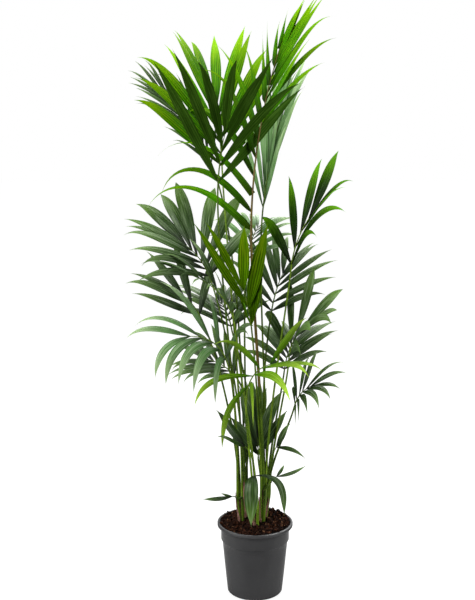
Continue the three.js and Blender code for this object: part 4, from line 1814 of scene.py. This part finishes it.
@dataclass(frozen=True)
class Blade:
    """The shape of every leaflet: a thin pleated blade with a raised midrib and a thread at its tip."""

    peak: float = 0.42
    root: float = 0.15
    thread: float = 0.035
    taper: Pair = (1.25, 1.15)
    columns: tuple[int, int] = (8, 10)
    broad: float = 23
    row_step: float = 15
    rows: tuple[int, int] = (10, 24)
    moves: int = 3
    thickness: float = 0.7
    thinning: float = 0.6
    fold: tuple[float, float, float] = (0.5, 0.24, 0.05)
    pleat: float = 0.05
    midrib: float = 0.4
    turn: float = 0.42
    end: Pair = (0.97, 0.02)
    blunt_peak: float = 0.26
    blunt_rise: float = 0.5
    blunt_end: float = 0.55

    def width(self, u: float, blunt: float) -> float:
        """The leaflet's width at one place.

        Args:
            u: The place, from 0 at the root to 1 at the tip.
            blunt: How round the tip is, up to 1, or how drawn out, below 0.

        Returns:
            The width as a share of the widest.
        """
        peak = self.peak + self.blunt_peak * blunt
        if u < peak:
            rise = math.sin(math.pi / 2 * u / peak) ** (1 + self.blunt_rise * blunt)
            return between((self.root, 1), rise)
        past = (u - peak) / (self.end[0] + self.end[1] * blunt - peak)
        body = max(0.0, math.cos(math.pi / 2 * min(1.0, past) ** self.taper[0]))
        body = body ** (self.taper[1] - self.blunt_end * min(1.0, blunt))
        return max(self.thread * (1.3 - u), body)

    def path(self, plan: LeafletPlan, rows: int) -> list[tuple[Vec, Vec, Vec]]:
        """The leaflet's middle line.

        Args:
            plan: The leaflet.
            rows: How many stretches it has.

        Returns:
            Place, direction and upper side at the end of each stretch.
        """
        moves = self.moves * rows
        at, along = plan.root, plan.direction
        out = square_to(along, plan.face)
        stations = [(at, along, out)]
        for k in range(1, moves + 1):
            across = np.cross(along, out)
            droop = plan.bow * k / moves + plan.tip_droop * (k / moves) ** 5
            along = unit(along - UP * (droop / moves) + across * (plan.sway / moves))
            at = at + along * (plan.long / moves)
            out = turned(square_to(along, out), along, plan.twist / moves)
            if k % self.moves == 0:
                stations.append((at, along, out))
        return stations

    def section(self, u: float, half: float, columns: int) -> Vec:
        """How far each column of the upper side stands off the middle line."""
        v = np.abs(np.linspace(-1, 1, columns + 1))
        fold = between(self.fold[:2], min(1, 2 * u)) if u < 0.5 else between(self.fold[1:], 2 * u - 1)
        pleats = np.cos(np.arange(columns + 1) * math.pi) * self.pleat
        fade = math.sin(math.pi * min(1.0, u + 0.04)) ** 0.5
        rise = fold * (0.5 - v) + pleats * fade * (v < 0.99)
        return rise * half + self.midrib * (v < 0.01) * (1 - u)

    def shape(self, plan: LeafletPlan) -> "LeafShape":
        """The leaflet as a closed blade.

        Args:
            plan: The leaflet.

        Returns:
            The blade.
        """
        rows = int(min(self.rows[1], max(self.rows[0], round(plan.long / self.row_step + plan.bow))))
        columns = self.columns[plan.wide > self.broad]
        net = BladeNet(rows, columns, self.turn)
        faces, sides = net.faces()
        points, flat = self.points(plan, rows, columns)
        return LeafShape(points, faces, sides, flat, net.creases())

    def points(self, plan: LeafletPlan, rows: int, columns: int) -> tuple[Vec, Vec]:
        """The points of a leaflet's blade.

        Args:
            plan: The leaflet.
            rows: How many stretches it has.
            columns: How many strips it has side by side.

        Returns:
            The points, in the order of a BladeNet, and where each lies on the flat map.
        """
        stations = self.path(plan, rows)
        upper, under, flat_upper, flat_under = [], [], [], []
        for i, (at, along, out) in enumerate(stations[:-1]):
            u = i / rows
            half = plan.wide / 2 * self.width(u, plan.blunt)
            across = np.cross(along, out)
            rise = self.section(u, half, columns)
            thick = self.thickness * (1 - self.thinning * u)
            for j in range(columns + 1):
                v = 2 * j / columns - 1
                upper.append(at + across * (v * half) + out * rise[j])
                flat_upper.append(((v + 1) / 2, u))
                if 0 < j < columns:
                    under.append(upper[-1] - out * thick)
                    flat_under.append(flat_upper[-1])
        points = np.array([*upper, *under, stations[-1][0]])
        return points, np.array([*flat_upper, *flat_under, (0.5, 1.0)])


@dataclass(frozen=True)
class BladeNet:
    """How a blade's points are numbered and joined.

    The upper side's come first, row by row, then the under side's without its edges, which it
    shares with the upper side, and the tip's comes last. turn is where the upper side's inner
    finish gives way to the outer one.
    """

    rows: int
    columns: int
    turn: float

    def top(self, i: int, j: int) -> int:
        """The number of a point on the upper side."""
        return i * (self.columns + 1) + j

    def low(self, i: int, j: int) -> int:
        """The number of a point on the under side."""
        if j in (0, self.columns):
            return self.top(i, j)
        return self.top(self.rows, 0) + i * (self.columns - 1) + j - 1

    def tip(self) -> int:
        """The number of the tip."""
        return self.low(self.rows, 1)

    def rim(self) -> list[int]:
        """The points round the blade's foot."""
        low = [self.low(0, j) for j in range(self.columns + 1)]
        return low + [self.top(0, j) for j in range(self.columns - 1, 0, -1)]

    def faces(self) -> tuple[Faces, list[int]]:
        """The blade's faces, and the finish of each."""
        top, low, tip = self.top, self.low, self.tip()
        faces: Faces = []
        sides: list[int] = []
        for i in range(self.rows - 1):
            part = OUTER if (i + 0.5) / self.rows > self.turn else INNER
            for j in range(self.columns):
                faces.append((top(i, j), top(i, j + 1), top(i + 1, j + 1), top(i + 1, j)))
                faces.append((low(i, j), low(i + 1, j), low(i + 1, j + 1), low(i, j + 1)))
                sides += [part, UNDER]
        end = self.rows - 1
        for j in range(self.columns):
            faces += [(top(end, j), top(end, j + 1), tip), (low(end, j + 1), low(end, j), tip)]
            sides += [OUTER, UNDER]
        return [*faces, tuple(self.rim())], [*sides, UNDER]

    def creases(self) -> list[tuple[int, int]]:
        """The edges that stay sharp: along both sides and round the foot."""
        rim, edges = self.rim(), (0, self.columns)
        lines = [(self.top(i, j), self.top(i + 1, j)) for i in range(self.rows - 1) for j in edges]
        lines += [(self.top(self.rows - 1, j), self.tip()) for j in edges]
        return [*lines, *zip(rim, rim[1:] + rim[:1])]


@dataclass(frozen=True, eq=False)
class LeafShape:
    """One leaflet's mesh: points, faces, each face's finish, flat map and sharp edges."""

    points: Vec
    faces: Faces
    sides: list[int]
    flat: Vec
    creases: list[tuple[int, int]]

    def outer(self, share: float) -> Faces:
        """The faces beyond a share of the length."""
        return [face for face in self.faces if self.flat[face[0]][1] >= share]


@dataclass
class Obstacles:
    """What leaflets keep clear of."""

    trees: list[tuple[BVHTree, Vec, Vec]] = field(default_factory=list)

    def add(self, points: Vec, faces: Faces) -> None:
        """Adds a shape to keep clear of."""
        self.trees.append((BVHTree.FromPolygons(points.tolist(), faces), points.min(0), points.max(0)))

    def is_clear(self, points: Vec, faces: Faces) -> bool:
        """Whether a shape touches none of what was added."""
        low, high = points.min(0), points.max(0)
        near = [tree for tree, a, b in self.trees if (a <= high).all() and (b >= low).all()]
        if not near:
            return True
        own = BVHTree.FromPolygons(points.tolist(), faces)
        return not any(own.overlap(tree) for tree in near)


@dataclass
class Crown:
    """All the fronds' leaflets, joined by shade."""

    clump: Clump
    blade: Blade = field(default_factory=Blade)
    last_pair: float = 0.985
    stagger: float = 0.48
    longest_at: float = 0.4
    stray_long: float = 0.07
    stray_open: float = 4
    stray_lift: float = 7
    stray_bow: float = 0.25
    stray_sway: float = 0.14
    stray_twist: float = 20
    stray_blunt: float = 0.6
    tip_droop: Pair = (0.5, 6.5)
    droops_from: float = 200
    apart_from: float = 0.22
    rib_parts: int = 12
    rib_sides: int = 5
    retries: Sequence[Pair] = (
        (0, 0), (4, 0), (-4, 0), (0, 6), (0, -6), (7, 4), (-7, 4), (5, -8), (-5, -8),
        (0, 13), (0, -13), (11, 0), (-11, 0), (9, 13), (-9, 13), (9, -14), (-9, -14), (0, 22), (0, -22),
        (0, 35), (0, -35), (-14, 25), (-14, -25),
    )

    def plan(self, seed: int, frond: Frond, pair: int, side: int, turn: Pair) -> LeafletPlan:
        """One leaflet, turned a little from its own angles.

        Args:
            seed: The frond's number.
            frond: The frond.
            pair: Which pair, from the collar up.
            side: -1 for left and 1 for right.
            turn: Degrees wider from the rib and higher out of the frond's plane.

        Returns:
            The leaflet's plan.
        """
        rib, row = self.clump.ribs[frond.name], frond.side(side)

        def draw(n: int) -> float:
            """A draw of this leaflet's own."""
            return jitter(seed, 10 * pair + 5 * (side > 0) + n)

        def trait(n: int) -> float:
            """A draw for a trait that has draws of its own."""
            return jitter(seed, n + 2 * pair + (side > 0))

        pairs = frond.fine or frond.pairs
        share = pair / (pairs - 1) if pairs > 1 else 1.0
        start = row.start / rib.length()
        s = between((start, self.last_pair), share) + side * self.stagger * share * (1 - share) / pairs
        along = rib.tangent(s)
        face = turned(square_to(along, rib.face), along, math.radians(row.roll))
        out = np.cross(along, face) * side
        if share < self.longest_at:
            grown = between((row.first, 1), share / self.longest_at)
        else:
            grown = between((1, row.last), (share - self.longest_at) / (1 - self.longest_at))
        long = row.long * grown * (1 + self.stray_long * draw(1))
        open_ = math.radians(between(row.spread, share) + self.stray_open * draw(2) + turn[0])
        lift = math.radians(row.lift + self.stray_lift * draw(3) + turn[1])
        direction = (
            along * math.cos(open_)
            + out * math.sin(open_) * math.cos(lift)
            + face * math.sin(open_) * math.sin(lift)
        )
        return LeafletPlan(
            root=rib.point(s),
            direction=direction,
            face=unit(np.cross(along, direction) * -side),
            long=long,
            wide=row.wide * (0.5 + 0.5 * long / row.long),
            bow=between(row.bow, share) * (1 + self.stray_bow * draw(4)),
            sway=self.stray_sway * trait(200),
            twist=math.radians(row.twist + self.stray_twist * trait(300)),
            blunt=row.blunt * (1 + self.stray_blunt * trait(500)),
            tip_droop=between(self.tip_droop, (0.5 + 0.5 * trait(600)) ** 2)
            * min(1.0, long / self.droops_from),
        )

    def obstacles(self) -> Obstacles:
        """The pot, the mix, the stems and the stalks."""
        found = Obstacles()
        for name, node in frame["nodes"].items():
            if not name.startswith("frond_"):
                points = np.array([vertex.co for vertex in node.data.vertices]) / MM
                found.add(points, [tuple(face.vertices) for face in node.data.polygons])
        return found

    def build(self) -> None:
        """Builds the leaflets of every frond and dresses them."""
        standing = self.obstacles()
        radii = (self.clump.stalk_radius[1], self.clump.rib_tip_radius)
        shares = np.linspace(0, 1, self.rib_parts + 1)
        ribs = {
            name: tube(rib.points(self.rib_parts), between(radii, shares), self.rib_sides)
            for name, rib in self.clump.ribs.items()
        }
        skins = {shade: Skin() for shade in Shade}
        missing = 0
        for seed, frond in enumerate(self.clump.fronds, 1):
            around = Obstacles(list(standing.trees))
            for name, (points, faces) in ribs.items():
                if name != frond.name:
                    around.add(points, faces)
            leaves = self.leaves(seed, frond, around)
            missing += 2 * (frond.fine or frond.pairs) - len(leaves)
            for leaf, tone in leaves:
                slots = [part + tone for part in leaf.sides]
                skins[frond.shade].add(leaf.points, leaf.faces, slots, leaf.flat, leaf.creases)
                standing.add(leaf.points, leaf.faces)
        LOG.info("leaflets left out because they can't be clear: %d", missing)
        for shade, skin in skins.items():
            names = ["frond_" + frond.name for frond in self.clump.fronds if frond.shade is shade]
            mesh = skin.mesh("leaves_" + shade.value, LEAF_TONES[shade].materials(shade))
            placed("leaves_" + shade.value, mesh, names)

    def leaves(self, seed: int, frond: Frond, around: Obstacles) -> list[tuple[LeafShape, int]]:
        """A frond's leaflets.

        Args:
            seed: The frond's number.
            frond: The frond.
            around: What they keep clear of.

        Returns:
            Each leaflet's blade, with the slot that its tone's finishes start at.
        """
        made = []
        beside = Obstacles()
        for pair in range(frond.fine or frond.pairs):
            for side in (-1, 1):
                leaf = self.leaflet(seed, frond, pair, side, around, beside)
                if leaf:
                    # Some leaflets take the brighter copy of their shade, a painted glow of light through the
                    # leaf.
                    takes_painted_glow = jitter(seed, 400 + 2 * pair + (side > 0)) > 2 * frond.plain - 1
                    made.append((leaf, len(LEAF_PARTS) * takes_painted_glow))
                    beside.add(leaf.points, leaf.outer(self.apart_from))
        return made

    def leaflet(
        self, seed: int, frond: Frond, pair: int, side: int, around: Obstacles, beside: Obstacles
    ) -> LeafShape | None:
        """The first way that a leaflet grows clear of its surroundings, if there is one.

        Args:
            seed: The frond's number.
            frond: The frond.
            pair: Which pair.
            side: -1 for left and 1 for right.
            around: What it keeps clear of.
            beside: The leaflets of its own frond, which it keeps clear of where it can.

        Returns:
            The blade.
        """
        second = None
        for turn in self.retries:
            leaf = self.blade.shape(self.plan(seed, frond, pair, side, turn))
            if not around.is_clear(leaf.points, leaf.faces):
                continue
            if beside.is_clear(leaf.points, leaf.outer(self.apart_from)):
                return leaf
            second = second or leaf
        return second


@dataclass(frozen=True)
class LeafTones:
    """The tones of one shade of leaf: the upper side at root, middle and tip, under side and wax.

    The dark root is painted shade inside the crown, and the paler tip is partly painted light
    through the leaf. The wax is partly painted sheen, the lines are partly painted shade in the
    pleats, and the bright gain is a painted glow of light through the leaf.
    """

    root: str
    middle: str
    tip: str
    under: str
    wax_and_sheen_colour: str
    wax_and_sheen_strength: float
    gloss: float
    # How strongly the vein lines darken the tone, partly as veins and partly as painted shade in the pleats.
    lines: float
    # Gain of the brighter copy: a painted glow of light through the leaf.
    bright: float = 1.28
    under_rough: Pair = (0.55, 0.7)

    def materials(self, shade: Shade) -> list[Material]:
        """The finishes of one shade, first the plain tone and then the brighter one.

        The brighter one's gain paints a glow of light through the leaf.
        """
        made = []
        for label, gain in (("plain", 1.0), ("bright", self.bright)):
            root, middle, tip, under, wax_and_sheen_colour = (
                tuple(gain * c for c in tint(code)[:3]) + (1.0,)
                for code in (self.root, self.middle, self.tip, self.under, self.wax_and_sheen_colour)
            )
            name = f"{shade.value}_{label}"
            skin = {"wax_and_sheen_colour": wax_and_sheen_colour, "wax_and_sheen_strength": self.wax_and_sheen_strength, "vein_and_pleat_shade_strength": self.lines}
            for part, start, end, reach in (
                ("_inner", root, middle, (0.0, Blade.turn)), ("_outer", middle, tip, (Blade.turn, 1.0)),
            ):
                finish = LeafFinish(name + part, start, end, reach=reach, gloss=self.gloss, **skin)
                made.append(finish.material())
            dull = {"rough": self.under_rough, "gloss": self.gloss / 2}
            made.append(LeafFinish(name + "_under", under, under, **dull, **skin).material())
        return made


# The dark roots paint shade inside the crown and the paler tips partly light through the leaf; wax is partly
# painted sheen, lines partly painted shade in the pleats, and the last gain a painted glow.
LEAF_TONES = {
    Shade.DEEP: LeafTones("0b1607", "294414", "587834", "456030", "8aa076", 0.5, 0.2, 0.6),
    Shade.MID: LeafTones("050c02", "163004", "5c9a0a", "2a4a0a", "5f8a30", 0.3, 0.06, 0.55),
    Shade.FRESH: LeafTones("143000", "3a7a00", "6ea000", "446c00", "9ab418", 0.3, 0.04, 0.95, 1.5),
    Shade.LIME: LeafTones("386804", "628e14", "98bc38", "5c8018", "a4c45c", 0.3, 0.06, 0.6),
    Shade.SILVER: LeafTones("1e3a12", "588446", "94b078", "70905e", "b0c69c", 0.5, 0.2, 0.6, 1.65),
}


# ---------------------------------------------------------------- studio


@dataclass(frozen=True)
class Lamp:
    """One soft lamp: where it hangs, its width and height, its power in watts and its aim."""

    name: str
    place: Point
    size: Pair
    power: float
    aim: Point = (0, 0, 0.95)

    def hang(self) -> None:
        """Hangs the lamp."""
        data = bpy.data.lights.new(self.name, "AREA")
        data.shape = "RECTANGLE"
        data.size, data.size_y = self.size
        data.energy = self.power
        lamp = in_scene(self.name, data)
        lamp.location = self.place
        lamp.rotation_euler = (Vector(self.aim) - Vector(self.place)).to_track_quat("-Z", "Y").to_euler()


@dataclass
class Studio:
    """A plain pale floor, plain soft light and the camera."""

    camera_place: Point = (-0.056, -3.0, 1.44)
    pitch: float = 9.36
    focal: float = 988.9
    frame_height: float = 600
    film: float = 36
    floor_radius: float = 30
    floor_fade: Pair = (0.25, 2.2)
    floor_glow: Pair = (0.82, 1.0)
    floor_tone: float = 0.14
    sheet_tone: float = 0.25
    sheet_middle: Point = (0.0, 0.615, -0.0003)
    sheet_size: Pair = (3.0, 1.6)
    world_glow: float = 0.02
    floor_middle: Point = (0.0, 0.0, -0.0005)
    floor_sides: int = 96
    speckle: float = 1.1
    floor_rough: float = 0.7
    sight: float = 200
    lamps: Sequence[Lamp] = (
        Lamp("left_box", (-2.4, -1.7, 1.9), (2.0, 2.4), 114),
        Lamp("right_box", (2.4, -1.5, 1.8), (2.0, 2.4), 78),
        Lamp("top_box", (0.0, 0.5, 3.7), (2.2, 1.8), 90),
        Lamp("back_box", (0.6, 2.6, 2.6), (2.0, 1.6), 70, (0, 0, 1.3)),
    )

    def camera(self) -> None:
        """Sets up the camera."""
        data = bpy.data.cameras.new("camera")
        data.sensor_width = self.film
        data.lens = self.film * self.focal / self.frame_height
        data.clip_end = self.sight
        camera = in_scene("camera", data)
        camera.location = self.camera_place
        camera.rotation_euler = (math.radians(90 - self.pitch), 0, 0)
        bpy.context.scene.camera = camera

    def ground(self, name: str, tone: float, mesh: Mesh, place: Point) -> None:
        """Lays a plain pale ground, which fades into the bright surroundings far from the plant.

        Args:
            name: Its name.
            tone: How much light it gives back.
            mesh: Its mesh.
            place: Where it lies.
        """
        material, graph, shader = new_finish(name)
        where = graph.place()
        far = graph.add("ShaderNodeVectorMath", {0: where}, operation="LENGTH").outputs["Value"]
        colour = graph.blend(graph.cloud(where, 300.0, 3.0), grey(tone), grey(self.speckle * tone))
        glow = graph.ramp(far, *self.floor_fade, self.floor_glow)
        seen = graph.add("ShaderNodeLightPath").outputs["Is Camera Ray"]
        graph.feed(
            shader,
            {"Base Color": colour, "Roughness": self.floor_rough, "Emission Color": grey(1),
             "Emission Strength": graph.times(seen, glow)},
        )
        mesh.materials.append(material)
        ground = in_scene(name, mesh)
        ground.location = place

    def floor(self) -> None:
        """Lays the floor and the paler sheet that the pot stands on."""
        floor = bpy.data.meshes.new("floor")
        work = bmesh.new()
        bmesh.ops.create_circle(work, cap_ends=True, radius=self.floor_radius, segments=self.floor_sides)
        work.to_mesh(floor)
        work.free()
        self.ground("floor", self.floor_tone, floor, self.floor_middle)
        x, y = (size / 2 for size in self.sheet_size)
        sheet = bpy.data.meshes.new("sheet")
        sheet.from_pydata([(-x, -y, 0), (x, -y, 0), (x, y, 0), (-x, y, 0)], [], [(0, 1, 2, 3)])
        self.ground("sheet", self.sheet_tone, sheet, self.sheet_middle)

    def surroundings(self) -> None:
        """Fills the surroundings: white to the eye, and a softer light on the plant."""
        world = bpy.data.worlds.new("surroundings")
        world.use_nodes = True
        graph = Graph(world.node_tree)
        world.node_tree.nodes.clear()
        path = graph.add("ShaderNodeLightPath")
        more = graph.times(path.outputs["Is Camera Ray"], 1 - self.world_glow)
        strength = graph.math("ADD", more, self.world_glow)
        back = graph.add("ShaderNodeBackground", {"Color": (1, 1, 1, 1), "Strength": strength})
        graph.add("ShaderNodeOutputWorld", {"Surface": back.outputs[0]})
        bpy.context.scene.world = world

    def build(self) -> None:
        """Sets up floor, lamps, surroundings and camera."""
        self.camera()
        self.floor()
        self.surroundings()
        for lamp in self.lamps:
            lamp.hang()
        view = bpy.context.scene.view_settings
        view.view_transform = "Standard"
        view.look = "None"


def main() -> None:
    """Builds every piece in order."""
    logging.basicConfig(level=logging.INFO, format="%(name)s: %(message)s")
    clump = Clump()
    LOG.info("%d stalks stand on %d stems", len(clump.stalks), len(clump.stems))
    Pot().build()
    PottingMix().build()
    StemSkins(clump).build()
    Stalks(clump).build()
    Crown(clump).build()
    Studio().build()


if __name__ == "__main__":
    main()
